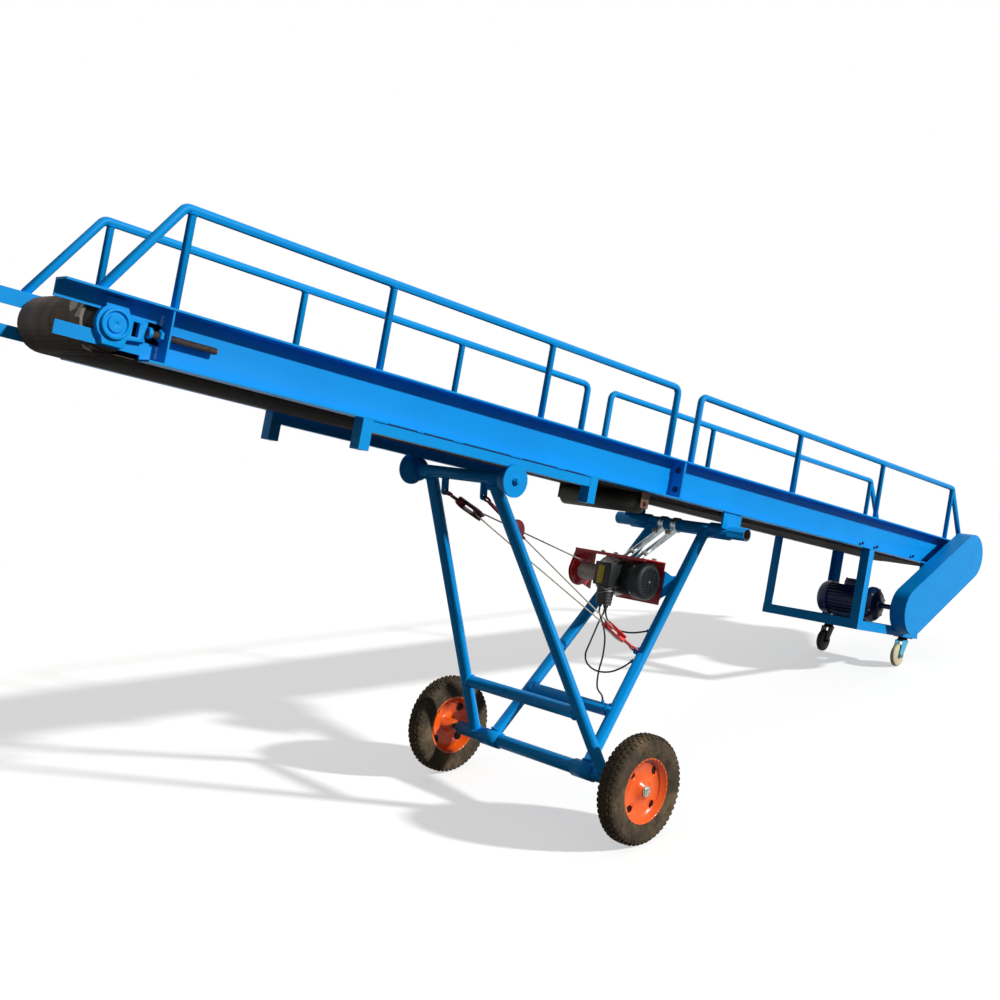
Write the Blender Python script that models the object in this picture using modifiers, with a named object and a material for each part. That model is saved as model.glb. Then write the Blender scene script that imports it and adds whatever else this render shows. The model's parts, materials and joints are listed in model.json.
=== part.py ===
"""Portable belt conveyor on a folding two-wheel undercarriage.

The conveyor is modelled in its own frame: U runs down the belt from the raised end to the drive
end, V runs across to the far side and W stands up from the tops of the side beams. The frame is
then tipped by the angle at which the two road wheels and the two casters stand on the floor.
"""

from math import asin, atan2, cos, degrees, hypot, pi, radians, sin

import bmesh
import bpy
from mathutils import Matrix, Vector

# Fit
GAP = 0.0003
WORK_GAP = 0.001
LAP = 0.0005

# Side beams
BEAM_DEPTH = 0.170
BEAM_WEB = 0.0065
BEAM_FLANGE = 0.063
BEAM_EDGE = 0.295
BEAM_TOP_END = -0.320
BEAM_SPLICE = 2.50
BEAM_LOW_END = 5.30
SPLICE_PLATE = 0.006
WEB_FACE = BEAM_EDGE - BEAM_FLANGE
WEB_INSIDE = WEB_FACE - BEAM_WEB

# Side rails
RAIL_V = 0.2613
RAIL_HEIGHT = 0.299
RAIL_PIPE = 0.0150
POST_PIPE = 0.0130
RAIL_START = 0.0
RAIL_BEFORE_SPLICE = 0.100
RAIL_AFTER_SPLICE = 0.069
RAIL_BEFORE_END = 0.241
POST_PITCH = (BEAM_SPLICE - RAIL_BEFORE_SPLICE - RAIL_START) / 3
LOWER_PITCH = (BEAM_LOW_END - RAIL_BEFORE_END - BEAM_SPLICE - RAIL_AFTER_SPLICE) / 3
BRACE_RUN = 0.205
BRACE_STEP = 0.025

# Belt and drums
DRUM_RADIUS = 0.080
BELT_THICKNESS = 0.008
BELT_WIDTH = 0.400
DRUM_LENGTH = 0.420
DRUM_W = -0.085
TAIL_U = -0.140
DRIVE_U = BEAM_LOW_END - 0.130
DRUM_SHAFT = 0.0150
BED_SHEET = 0.003
BED_LIP = 0.030

# Take-up at the raised end
SLOT_TOP = -0.051
SLOT_BOTTOM = -0.112
SLOT_END = 0.030
ARM_BOTTOM = -0.152
ARM_TIP = -0.303
ARM_END = -0.040
HOUSING_THICK = 0.020
HOUSING_TOP = -0.012
HOUSING_LOW = -0.148
HOUSING_NOSE = 0.056
HOUSING_TAIL = 0.098
HOUSING_NECK = 0.030
BOSS_RADIUS = 0.045
BOSS_OUT = 0.012
WINDOW_START = 0.054
WINDOW_END = 0.074
WINDOW_HALF = 0.021
SCREW_RADIUS = 0.011
SCREW_V = WEB_FACE + 0.024
SCREW_END = 0.190
SCREW_PLATE_U = 0.010

# Return idler
IDLER_U = BEAM_SPLICE - 0.170
IDLER_RADIUS = 0.0445
IDLER_HALF = 0.215
IDLER_SHAFT = 0.010

# Undercarriage
ROLLER_U = 1.485
PIVOT_U = 2.915
HINGE_W = -0.2576
AXLE_W = -1.350
AXLE_U = (ROLLER_U + PIVOT_U) / 2
LEG_RADIUS = 0.026
BAR_RADIUS = 0.027
TOP_TUBE_RADIUS = 0.024
PIVOT_PIPE_RADIUS = 0.030
PIVOT_PIPE_BORE = 0.0262
PIVOT_PIPE_HALF = 0.379
AXLE_RADIUS = 0.030
AXLE_HALF = 0.490
SLEEVE_WALL = 0.0065
FRONT_LEG_TOP_V = 0.180
FRONT_LEG_LOW_V = 0.385
REAR_LEG_TOP_V = 0.148
REAR_LEG_LOW_V = 0.280
CROSS_BAR_AT = 0.78
SLEEVE_HALF = 0.055

# Guide rollers and their track
TRACK_DEPTH = 0.040
TRACK_INNER = 0.255
TRACK_OUTER = 0.293
TRACK_START = ROLLER_U - 0.695
TRACK_END = ROLLER_U + 0.425
STOP_LENGTH = 0.040
STOP_DEPTH = 0.105
ROLLER_FLANGE = 0.0636
ROLLER_FLANGE_THICK = 0.008
ROLLER_BORE = 0.0143

# Road wheels
WHEEL_V = 0.570
TYRE_RADIUS = 0.222
TYRE_WIDTH = 0.088
RIM_SEAT = 0.127
RIM_FLANGE = 0.138
RIM_HALF = 0.036
HUB_BORE = 0.0128
RIM_HOLE = 0.017
RIM_HOLE_RING = 0.096
RIM_HOLES = 4
WHEEL_SIDES = 32

# Drive frame
POST_ANGLE = 0.050
POST_WALL = 0.006
FRAME_V = 0.295
FRAME_FRONT = BEAM_LOW_END - 1.125
FRAME_REAR = BEAM_LOW_END - 0.440
FRAME_BASE = -0.600
MOTOR_U = FRAME_REAR - 0.240
MOTOR_W = -0.450
MOTOR_RADIUS = 0.098

# Belt guard
GUARD_RADIUS = 0.130
GUARD_HIGH = (DRIVE_U + 0.025, DRUM_W + 0.010)
GUARD_LIP = 0.020
GUARD_BACK = 0.2956
GUARD_FACE = 0.385
GUARD_SHEET = 0.003

# Casters
CASTER_RADIUS = 0.0625
CASTER_WIDTH = 0.032
CASTER_DROP = 0.107
CASTER_TRAIL = 0.035
CASTER_KING_U = FRAME_REAR - 0.050
CASTER_V = 0.236

# Hoist
HOIST_U = 2.600
HOIST_W = -0.545
HOIST_NEAR = -0.128
HOIST_FAR = 0.300
HOIST_FRAME_NEAR = HOIST_NEAR + 0.006
HOIST_LIP = 0.014
HOIST_BACK_PLATE = 0.130
SWITCH_BOX_DEPTH = 0.105
BOOT_DEPTH = 0.085
DRUM_CORE = 0.032
DRUM_FLANGE = 0.070
ROPE_RADIUS = 0.0035
CABLE_RADIUS = 0.004

# Rope tackle between the two pairs of legs
EYE_DROP = 0.0724
EYE_OFFSET = 0.012
EYE_BORE = 0.0075
EYE_EDGE = 0.016
EYE_PLATE = 0.008
EYE_FAR = 0.090
EYE_NEAR = -0.135
RING_RADIUS = 0.018
RING_WIRE = 0.005
LUG_AT = 0.540
LUG_REACH = 0.030
LUG_V = -0.199
SHEAVE_RADIUS = 0.0216
SHEAVE_CHEEK = 0.024
BLOCK_CHEEKS = 0.010
BLOCK_LENGTH = 0.200
HOOK_BLOCK_LENGTH = 0.205
ANCHOR_LENGTH = 0.225
ANCHOR_RADIUS = 0.043

FEET_W = MOTOR_W - MOTOR_RADIUS - 0.012
TRACK_BOTTOM = -BEAM_DEPTH - GAP - TRACK_DEPTH
ROLLER_TREAD = TRACK_BOTTOM - WORK_GAP - HINGE_W


def stand_angle():
    """Slope of the line that touches a road wheel and a caster from below."""
    caster_w = FRAME_BASE - CASTER_DROP
    run = CASTER_KING_U - CASTER_TRAIL - AXLE_U
    rise = caster_w - AXLE_W
    return atan2(rise, run) + asin((TYRE_RADIUS - CASTER_RADIUS) / hypot(run, rise))


TILT = stand_angle()

for old in list(bpy.data.objects):
    bpy.data.objects.remove(old, do_unlink=True)

parts = bpy.data.collections.new("belt_conveyor")
helpers = bpy.data.collections.new("helpers")
bpy.context.scene.collection.children.link(parts)
bpy.context.scene.collection.children.link(helpers)


def make_material(name, colour, roughness, metallic=0.0):
    material = bpy.data.materials.new(name)
    material.use_nodes = True
    shader = material.node_tree.nodes["Principled BSDF"]
    shader.inputs["Base Color"].default_value = (*colour, 1.0)
    shader.inputs["Roughness"].default_value = roughness
    shader.inputs["Metallic"].default_value = metallic
    return material


BLUE = make_material("blue_paint", (0.0, 0.32, 0.80), 0.4)
NAVY = make_material("navy_paint", (0.01, 0.03, 0.10), 0.45)
RED = make_material("red_paint", (0.55, 0.02, 0.03), 0.4)
ORANGE = make_material("orange_paint", (1.0, 0.16, 0.03), 0.4)
TYRE = make_material("tyre_rubber", (0.02, 0.02, 0.018), 0.85)
BELTING = make_material("belt_rubber", (0.05, 0.045, 0.04), 0.8)
BLACK = make_material("black_plastic", (0.015, 0.015, 0.015), 0.5)
ALLOY = make_material("cast_alloy", (0.55, 0.55, 0.53), 0.45, 0.9)
ZINC = make_material("zinc_plate", (0.65, 0.66, 0.66), 0.35, 1.0)
STEEL = make_material("bare_steel", (0.30, 0.22, 0.17), 0.6, 0.8)
CREAM = make_material("cream_nylon", (0.75, 0.68, 0.48), 0.5)


def add_object(mesh, name="work"):
    obj = bpy.data.objects.new(name, mesh)
    helpers.objects.link(obj)
    return obj


def from_bmesh(work):
    mesh = bpy.data.meshes.new("work")
    bmesh.ops.recalc_face_normals(work, faces=work.faces)
    work.to_mesh(mesh)
    work.free()
    return add_object(mesh)


def box(u, v, w):
    """A block between the two ends given for each axis."""
    work = bmesh.new()
    bmesh.ops.create_cube(work, size=1.0)
    size = [abs(pair[1] - pair[0]) for pair in (u, v, w)]
    centre = [(pair[1] + pair[0]) / 2 for pair in (u, v, w)]
    bmesh.ops.scale(work, vec=size, verts=work.verts)
    bmesh.ops.translate(work, vec=centre, verts=work.verts)
    return from_bmesh(work)


def rod(start, end, radius, sides=20, end_radius=None):
    """A round bar, or a cone, from one point to another."""
    start = Vector(start)
    end = Vector(end)
    work = bmesh.new()
    bmesh.ops.create_cone(
        work,
        cap_ends=True,
        segments=sides,
        radius1=radius,
        radius2=radius if end_radius is None else end_radius,
        depth=(end - start).length,
    )
    turn = (end - start).to_track_quat("Z", "Y").to_matrix().to_4x4()
    bmesh.ops.transform(work, matrix=Matrix.Translation((start + end) / 2) @ turn, verts=work.verts)
    return from_bmesh(work)


def cross_rod(u, w, near, far, radius, sides=20):
    return rod((u, near, w), (u, far, w), radius, sides)


def evaluated_copy(obj):
    graph = bpy.context.evaluated_depsgraph_get()
    mesh = bpy.data.meshes.new_from_object(obj.evaluated_get(graph))
    mesh.transform(obj.matrix_world)
    bpy.data.objects.remove(obj, do_unlink=True)
    return add_object(mesh)


def weld(obj, distance=0.00001):
    work = bmesh.new()
    work.from_mesh(obj.data)
    bmesh.ops.remove_doubles(work, verts=work.verts, dist=distance)
    bmesh.ops.recalc_face_normals(work, faces=work.faces)
    work.to_mesh(obj.data)
    work.free()
    return obj


def pipe(points, radius, resolution=3, bend=0.0, closed=False):
    """A pipe along straight runs, with each corner rounded to the bend radius."""
    route = rounded(points, bend) if bend else [Vector(point) for point in points]
    curve = bpy.data.curves.new("pipe", "CURVE")
    curve.dimensions = "3D"
    curve.bevel_depth = radius
    curve.bevel_resolution = resolution
    curve.use_fill_caps = True
    spline = curve.splines.new("POLY")
    spline.points.add(len(route) - 1)
    for point, place in zip(spline.points, route):
        point.co = (*place, 1.0)
    spline.use_cyclic_u = closed
    obj = bpy.data.objects.new("pipe", curve)
    helpers.objects.link(obj)
    return weld(evaluated_copy(obj))


def rounded(points, bend, steps=4):
    """The route with every inner corner replaced by an arc of the bend radius."""
    points = [Vector(point) for point in points]
    route = [points[0]]
    for before, corner, after in zip(points, points[1:], points[2:]):
        back = (before - corner).normalized()
        ahead = (after - corner).normalized()
        half = back.angle(ahead) / 2
        reach = bend / (sin(half) / cos(half))
        centre = corner + (back + ahead).normalized() * (bend / sin(half))
        first = (corner + back * reach - centre).normalized()
        last = (corner + ahead * reach - centre).normalized()
        for step in range(steps + 1):
            route.append(centre + first.slerp(last, step / steps) * bend)
    route.append(points[-1])
    return route


ACROSS = {
    "U": Matrix(((0, 0, 1), (1, 0, 0), (0, 1, 0))).to_4x4(),
    "V": Matrix(((1, 0, 0), (0, 0, -1), (0, 1, 0))).to_4x4(),
    "W": Matrix.Identity(4),
}


def plate(outline, start, end, across, holes=()):
    """An outline in the two other axes, filled and given its thickness along the named one."""
    curve = bpy.data.curves.new("plate", "CURVE")
    curve.dimensions = "2D"
    curve.fill_mode = "BOTH"
    curve.extrude = abs(end - start) / 2
    for ring in (outline, *holes):
        spline = curve.splines.new("POLY")
        spline.points.add(len(ring) - 1)
        for point, place in zip(spline.points, ring):
            point.co = (place[0], place[1], 0.0, 1.0)
        spline.use_cyclic_u = True
    obj = bpy.data.objects.new("plate", curve)
    helpers.objects.link(obj)
    middle = (start + end) / 2
    offset = {"U": (middle, 0, 0), "V": (0, middle, 0), "W": (0, 0, middle)}[across]
    obj.matrix_world = Matrix.Translation(offset) @ ACROSS[across]
    bpy.context.view_layer.update()
    return weld(evaluated_copy(obj))


def sheet(outline, near, far, holes=()):
    return plate(outline, near, far, "V", holes)


def section(outline, start, end):
    return plate(outline, start, end, "U")


def arc(centre, radius, start, end, steps):
    """Points round a centre, from one angle to another in degrees."""
    turn = [radians(start + (end - start) * step / steps) for step in range(steps + 1)]
    return [(centre[0] + radius * cos(angle), centre[1] + radius * sin(angle)) for angle in turn]


def stadium(first, second, radius, steps=16):
    """The outline round two equal circles."""
    heading = degrees(atan2(second[1] - first[1], second[0] - first[0]))
    return arc(first, radius, heading + 90, heading + 270, steps) + arc(
        second, radius, heading - 90, heading + 90, steps
    )


def turned(profile, u, v, w, sides=24):
    """A turned piece on an axis across V: profile of (radius, v) from the far end to the near end."""
    mesh = bpy.data.meshes.new("turned")
    points = [(radius, 0.0, place) for radius, place in profile]
    count = len(points)
    mesh.from_pydata(points, [(i, (i + 1) % count) for i in range(count)], [])
    obj = add_object(mesh)
    screw = obj.modifiers.new("Screw", "SCREW")
    screw.axis = "Z"
    screw.steps = sides
    screw.render_steps = sides
    screw.use_merge_vertices = True
    screw.merge_threshold = 0.00001
    obj.matrix_world = Matrix.Translation((u, v, w)) @ Matrix.Rotation(-pi / 2, 4, "X")
    bpy.context.view_layer.update()
    return weld(evaluated_copy(obj))


def combine(operation, base, tools):
    for tool in tools:
        step = base.modifiers.new(operation.title(), "BOOLEAN")
        step.operation = operation
        step.solver = "EXACT"
        step.object = tool
        bpy.context.view_layer.update()
        base = weld(evaluated_copy(base), 0.000002)
        bpy.data.objects.remove(tool, do_unlink=True)
    return base


def union(base, *others):
    return combine("UNION", base, others)


def cut(base, *cutters):
    return combine("DIFFERENCE", base, cutters)


def empty(name, u, v, w, parent=None):
    holder = bpy.data.objects.new(name, None)
    parts.objects.link(holder)
    holder["place"] = (u, v, w)
    if parent is not None:
        holder.parent = parent
        holder.location = Vector((u, v, w)) - Vector(parent["place"])
    return holder


def keep(obj, name, material, parent, origin=None, smooth=True):
    """Names a finished piece, gives it its material and hangs it on its body."""
    origin = Vector(origin if origin is not None else parent["place"])
    obj.data.transform(Matrix.Translation(-origin))
    obj.name = name
    obj.data.name = name
    obj.data.materials.clear()
    obj.data.materials.append(material)
    if smooth:
        obj.data.shade_smooth()
        obj.data.set_sharp_from_angle(angle=radians(35))
    helpers.objects.unlink(obj)
    parts.objects.link(obj)
    obj.parent = parent
    obj.location = origin - Vector(parent["place"])
    return obj


SIDES = (("near", -1), ("far", 1))

conveyor = empty("conveyor", 0, 0, 0)
rear_legs = empty("rear_legs", PIVOT_U, 0, HINGE_W, conveyor)
front_legs = empty("front_legs", AXLE_U, 0, AXLE_W, rear_legs)


# Side beams: channels that open outward, each in two lengths bolted end to end


def channel(start, end, side):
    out = side * BEAM_EDGE
    back = side * WEB_INSIDE
    web = side * WEB_FACE
    top = -BEAM_WEB
    low = -BEAM_DEPTH + BEAM_WEB
    outline = [
        (out, 0.0),
        (back, 0.0),
        (back, -BEAM_DEPTH),
        (out, -BEAM_DEPTH),
        (out, low),
        (web, low),
        (web, top),
        (out, top),
    ]
    return section(outline, start, end)


def end_plate(start, side):
    inset = BEAM_WEB / 2
    return box(
        (start, start + SPLICE_PLATE),
        (side * (WEB_FACE - inset), side * (BEAM_EDGE - inset)),
        (-inset, -BEAM_DEPTH + inset),
    )


def upper_beam(side):
    beam = channel(BEAM_TOP_END, BEAM_SPLICE - GAP, side)
    beam = union(
        beam,
        end_plate(BEAM_SPLICE - GAP - LAP - SPLICE_PLATE, side),
        end_plate(SCREW_PLATE_U, side),
    )
    reach = 0.05
    inner = side * (WEB_INSIDE - reach)
    outer = side * (BEAM_EDGE + reach)
    before = BEAM_TOP_END - reach
    slot = box((before, SLOT_END), (inner, side * (WEB_FACE + 2 * LAP)), (SLOT_TOP, SLOT_BOTTOM))
    below = -BEAM_DEPTH - reach
    under = box((before, ARM_END), (inner, outer), (ARM_BOTTOM, below))
    tip = box((before, ARM_TIP), (inner, outer), (SLOT_BOTTOM + BEAM_WEB, below))
    arm = box((before, ARM_END), (side * (WEB_FACE + LAP), outer), (SLOT_TOP - 0.02, ARM_BOTTOM - 0.02))
    v = side * SCREW_V
    ends = ((SCREW_PLATE_U - reach, v, DRUM_W), (SCREW_PLATE_U + reach, v, DRUM_W))
    hole = rod(*ends, SCREW_RADIUS + GAP, 16)
    return cut(beam, slot, under, tip, arm, hole)


def lower_beam(side):
    beam = channel(BEAM_SPLICE, BEAM_LOW_END, side)
    beam = union(beam, end_plate(BEAM_SPLICE + LAP, side))
    through = (side * (WEB_INSIDE - 0.02), side * (WEB_FACE + 0.02))
    return cut(beam, cross_rod(DRIVE_U, DRUM_W, *through, DRUM_SHAFT + 0.004))


for label, side in SIDES:
    keep(upper_beam(side), "beam_upper_" + label, BLUE, conveyor, smooth=False)
    keep(lower_beam(side), "beam_lower_" + label, BLUE, conveyor, smooth=False)


# Side rails


def rail(first, pitch, brace, side):
    v = side * RAIL_V
    last = first + 3 * pitch
    upright = [first + i * pitch for i in range(4)]
    if brace < 0:
        feet = (first - BRACE_RUN, last)
        upright[0] += BRACE_STEP
        upright.pop()
    else:
        feet = (first, last + BRACE_RUN)
        upright.pop(0)
    route = [(feet[0], v, GAP), (first, v, RAIL_HEIGHT), (last, v, RAIL_HEIGHT), (feet[1], v, GAP)]
    top = pipe(route, RAIL_PIPE, 2, bend=0.03)
    posts = [rod((u, v, GAP), (u, v, RAIL_HEIGHT), POST_PIPE, 12) for u in upright]
    top = union(top, *posts)
    return cut(top, box((first - 1, last + 1), (v - 0.1, v + 0.1), (-0.2, GAP)))


for label, side in SIDES:
    keep(rail(RAIL_START, POST_PITCH, -1, side), "rail_upper_" + label, BLUE, conveyor)
    keep(rail(BEAM_SPLICE + RAIL_AFTER_SPLICE, LOWER_PITCH, 1, side), "rail_lower_" + label, BLUE, conveyor)


# Belt, bed and drums


BELT_STEPS = 16
BELT_INNER = (DRUM_RADIUS + GAP) / cos(pi / BELT_STEPS / 2)
BELT_OUTER = BELT_INNER + BELT_THICKNESS


def racetrack(radius):
    return stadium((TAIL_U, DRUM_W), (DRIVE_U, DRUM_W), radius, BELT_STEPS)


belt = sheet(racetrack(BELT_OUTER), -BELT_WIDTH / 2, BELT_WIDTH / 2, holes=[racetrack(BELT_INNER)])
keep(belt, "belt", BELTING, conveyor)

BED_TOP = DRUM_W + BELT_INNER - GAP
bed_side = WEB_INSIDE - GAP
bed_outline = [
    (-bed_side, BED_TOP),
    (bed_side, BED_TOP),
    (bed_side, BED_TOP - BED_LIP),
    (bed_side - BED_SHEET, BED_TOP - BED_LIP),
    (bed_side - BED_SHEET, BED_TOP - BED_SHEET),
    (-bed_side + BED_SHEET, BED_TOP - BED_SHEET),
    (-bed_side + BED_SHEET, BED_TOP - BED_LIP),
    (-bed_side, BED_TOP - BED_LIP),
]
bed = section(bed_outline, TAIL_U + 0.18, DRIVE_U - 0.11)
ties = [
    box((u, u + 0.04), (-bed_side, bed_side), (BED_TOP - 0.001, BED_TOP - 0.040))
    for u in (BEAM_LOW_END * (2 * i + 1) / 12 for i in range(6))
]
keep(union(bed, *ties), "slider_bed", BLUE, conveyor, smooth=False)


def drum(u, near, far):
    half = DRUM_LENGTH / 2
    profile = [
        (0.0, far),
        (DRUM_SHAFT, far),
        (DRUM_SHAFT, half),
        (DRUM_RADIUS, half),
        (DRUM_RADIUS, -half),
        (DRUM_SHAFT, -half),
        (DRUM_SHAFT, near),
        (0.0, near),
    ]
    return turned(profile, u, 0.0, DRUM_W)


HOUSING_FACE = WEB_FACE + GAP + HOUSING_THICK
BEARING_FACE = HOUSING_FACE + BOSS_OUT - 0.006
PULLEY_END = 0.345
TAIL_SHAFT = HOUSING_FACE - 0.006
keep(drum(TAIL_U, -TAIL_SHAFT, TAIL_SHAFT), "tail_drum", STEEL, conveyor)
keep(drum(DRIVE_U, -PULLEY_END, BEARING_FACE + 0.004), "drive_drum", STEEL, conveyor)


# Take-up housings and screws


def ringed_boss(u, side):
    """A round bearing cap with a raised rim, a groove and a raised middle with a dimple."""
    base = HOUSING_FACE - 0.004
    rings = [
        (0.0, base),
        (BOSS_RADIUS, base),
        (BOSS_RADIUS, HOUSING_FACE + BOSS_OUT - 0.002),
        (BOSS_RADIUS - 0.002, HOUSING_FACE + BOSS_OUT),
        (BOSS_RADIUS - 0.009, HOUSING_FACE + BOSS_OUT),
        (BOSS_RADIUS - 0.012, HOUSING_FACE + 0.005),
        (BOSS_RADIUS - 0.018, HOUSING_FACE + 0.005),
        (BOSS_RADIUS - 0.020, HOUSING_FACE + BOSS_OUT - 0.001),
        (0.006, HOUSING_FACE + BOSS_OUT - 0.001),
        (0.003, HOUSING_FACE + BOSS_OUT - 0.004),
        (0.0, HOUSING_FACE + BOSS_OUT - 0.004),
    ]
    return turned([(radius, side * v) for radius, v in rings], u, 0.0, DRUM_W, 28)


def housing(side):
    """A slide in the beam's slot: a round nose and two wings round the bearing, a block behind it."""
    tail = TAIL_U + HOUSING_TAIL
    nose = arc((TAIL_U, DRUM_W), HOUSING_NOSE, 128, 232, 8)
    outline = [
        (TAIL_U + 0.024, HOUSING_TOP),
        (TAIL_U - 0.040, HOUSING_TOP),
        *nose,
        (TAIL_U - 0.028, HOUSING_LOW),
        (TAIL_U + 0.038, HOUSING_LOW),
        (TAIL_U + 0.044, DRUM_W - HOUSING_NECK - 0.006),
        (tail, DRUM_W - HOUSING_NECK),
        (tail, DRUM_W + HOUSING_NECK),
        (TAIL_U + 0.042, DRUM_W + HOUSING_NECK + 0.004),
    ]
    inner = side * (WEB_FACE + GAP)
    block = sheet(outline, inner, side * HOUSING_FACE)
    bore = cross_rod(TAIL_U, DRUM_W, side * WEB_INSIDE, side * (TAIL_SHAFT + GAP), DRUM_SHAFT + GAP, 28)
    window = box(
        (TAIL_U + WINDOW_START, TAIL_U + WINDOW_END),
        (side * WEB_INSIDE, side * (HOUSING_FACE + 0.02)),
        (DRUM_W - WINDOW_HALF, DRUM_W + WINDOW_HALF),
    )
    return cut(union(block, ringed_boss(TAIL_U, side)), bore, window)


def adjusting_screw(side):
    v = side * SCREW_V
    start = TAIL_U + HOUSING_TAIL + GAP
    screw = rod((start, v, DRUM_W), (SCREW_END, v, DRUM_W), SCREW_RADIUS, 16)
    collar = rod((start, v, DRUM_W), (start + 0.012, v, DRUM_W), 0.017, 16)
    nut = rod((SCREW_PLATE_U - GAP - 0.016, v, DRUM_W), (SCREW_PLATE_U - GAP, v, DRUM_W), 0.018, 6)
    return union(screw, collar, nut)


def drive_bearing(side):
    half = 0.055
    foot = WEB_FACE + GAP + 0.014
    across = (side * (WEB_FACE + GAP), side * foot)
    block = box((DRIVE_U - half, DRIVE_U + half), across, (DRUM_W - half, DRUM_W + half))
    boss = cross_rod(DRIVE_U, DRUM_W, side * (foot - 0.004), side * BEARING_FACE, 0.036, 28)
    bore = cross_rod(DRIVE_U, DRUM_W, side * WEB_INSIDE, side * (BEARING_FACE + 0.02), DRUM_SHAFT + GAP, 28)
    return cut(union(block, boss), bore)


for label, side in SIDES:
    keep(housing(side), "takeup_housing_" + label, BLUE, conveyor)
    keep(adjusting_screw(side), "takeup_screw_" + label, STEEL, conveyor)
    keep(drive_bearing(side), "drive_bearing_" + label, BLUE, conveyor)


# Return idler under the splice

IDLER_W = DRUM_W - BELT_OUTER - GAP - IDLER_RADIUS
HANGER_INNER = WEB_FACE + 0.004
HANGER_OUTER = HANGER_INNER + 0.006
IDLER_SHAFT_END = HANGER_OUTER + 0.0035
idler_profile = [
    (0.0, IDLER_SHAFT_END),
    (IDLER_SHAFT, IDLER_SHAFT_END),
    (IDLER_SHAFT, IDLER_HALF),
    (IDLER_RADIUS, IDLER_HALF),
    (IDLER_RADIUS, -IDLER_HALF),
    (IDLER_SHAFT, -IDLER_HALF),
    (IDLER_SHAFT, -IDLER_SHAFT_END),
    (0.0, -IDLER_SHAFT_END),
]
keep(turned(idler_profile, IDLER_U, 0.0, IDLER_W, 24), "return_idler", BLACK, conveyor)

for label, side in SIDES:
    hanger = box(
        (IDLER_U - 0.025, IDLER_U + 0.025),
        (side * HANGER_INNER, side * HANGER_OUTER),
        (-BEAM_DEPTH - GAP, IDLER_W - 0.02),
    )
    hanger = cut(hanger, cross_rod(IDLER_U, IDLER_W, side * IDLER_HALF, side * BEAM_EDGE, IDLER_SHAFT + GAP))
    keep(hanger, "idler_bracket_" + label, STEEL, conveyor, smooth=False)


# Roller track with its end stops, and the pivot brackets


def track(side):
    top = -BEAM_DEPTH - GAP
    bar = box((TRACK_START, TRACK_END), (side * TRACK_INNER, side * TRACK_OUTER), (top, TRACK_BOTTOM))
    stops = []
    for start in (TRACK_START - STOP_LENGTH, TRACK_END):
        stops.append(
            box(
                (start - 4 * LAP, start + STOP_LENGTH + 4 * LAP),
                (side * (TRACK_INNER - 0.01), side * BEAM_EDGE),
                (top, -BEAM_DEPTH - STOP_DEPTH),
            )
        )
    return union(bar, *stops)


SLEEVE_NEAR = 0.180
BRACKET_INNER = 0.277
BRACKET_OUTER = 0.287


def pivot_bracket(side):
    outer = PIVOT_PIPE_RADIUS + SLEEVE_WALL
    heights = (-BEAM_DEPTH - GAP, HINGE_W + 0.012)
    sleeve = cross_rod(PIVOT_U, HINGE_W, side * SLEEVE_NEAR, side * BRACKET_OUTER, outer, 24)
    plate = box((PIVOT_U - 0.07, PIVOT_U + 0.07), (side * BRACKET_INNER, side * BRACKET_OUTER), heights)
    web = box((PIVOT_U - 0.005, PIVOT_U + 0.005), (side * 0.24, side * (BRACKET_INNER + 0.003)), heights)
    bore = cross_rod(PIVOT_U, HINGE_W, side * 0.1, side * 0.4, PIVOT_PIPE_RADIUS + GAP, 24)
    return cut(union(sleeve, plate, web), bore)


for label, side in SIDES:
    keep(track(side), "roller_track_" + label, BLUE, conveyor, smooth=False)
    keep(pivot_bracket(side), "pivot_bracket_" + label, BLUE, conveyor)


# Rear leg frame, which turns in the pivot brackets


def along(top_u, top_v, low_v, share, side):
    """A point on a leg, at a share of the way from its top hinge to the axle."""
    return (
        top_u + (AXLE_U - top_u) * share,
        side * (top_v + (low_v - top_v) * share),
        HINGE_W + (AXLE_W - HINGE_W) * share,
    )


def leg(top_u, top_v, low_v, side):
    return rod(along(top_u, top_v, low_v, 0.0, side), along(top_u, top_v, low_v, 1.0, side), LEG_RADIUS, 16)


def cross_bar(top_u, top_v, low_v):
    ends = [along(top_u, top_v, low_v, CROSS_BAR_AT, side) for side in (-1, 1)]
    return rod(ends[0], ends[1], BAR_RADIUS, 16)


def eye_plate(hole, root, v, half):
    """A plate from a tube's middle line to a hook's eye, with round ends."""
    blank = sheet(stadium(hole, root, EYE_EDGE, 8), v - half, v + half)
    return blank, cross_rod(hole[0], hole[1], v - 0.05, v + 0.05, EYE_BORE, 12)


def front_eye(v):
    return Vector((ROLLER_U + EYE_OFFSET, v, HINGE_W - EYE_DROP))


LUG_ROOT = Vector(along(PIVOT_U, REAR_LEG_TOP_V, REAR_LEG_LOW_V, LUG_AT, -1))
LUG_EYE = Vector((LUG_ROOT.x - LUG_REACH, LUG_V, LUG_ROOT.z))

BOX_TOP = HOIST_W + 0.055
BOX_LOW = BOX_TOP - SWITCH_BOX_DEPTH
BOOT_LOW = BOX_LOW - BOOT_DEPTH
GLAND_REACH = 0.012
CABLE_TOP = BOOT_LOW - GLAND_REACH - GAP


def hung(places):
    """Cable points given from the hoist's axis along U and from the boot's glands down."""
    return [(HOIST_U + u, v, CABLE_TOP + w) for u, v, w in places]


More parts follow.
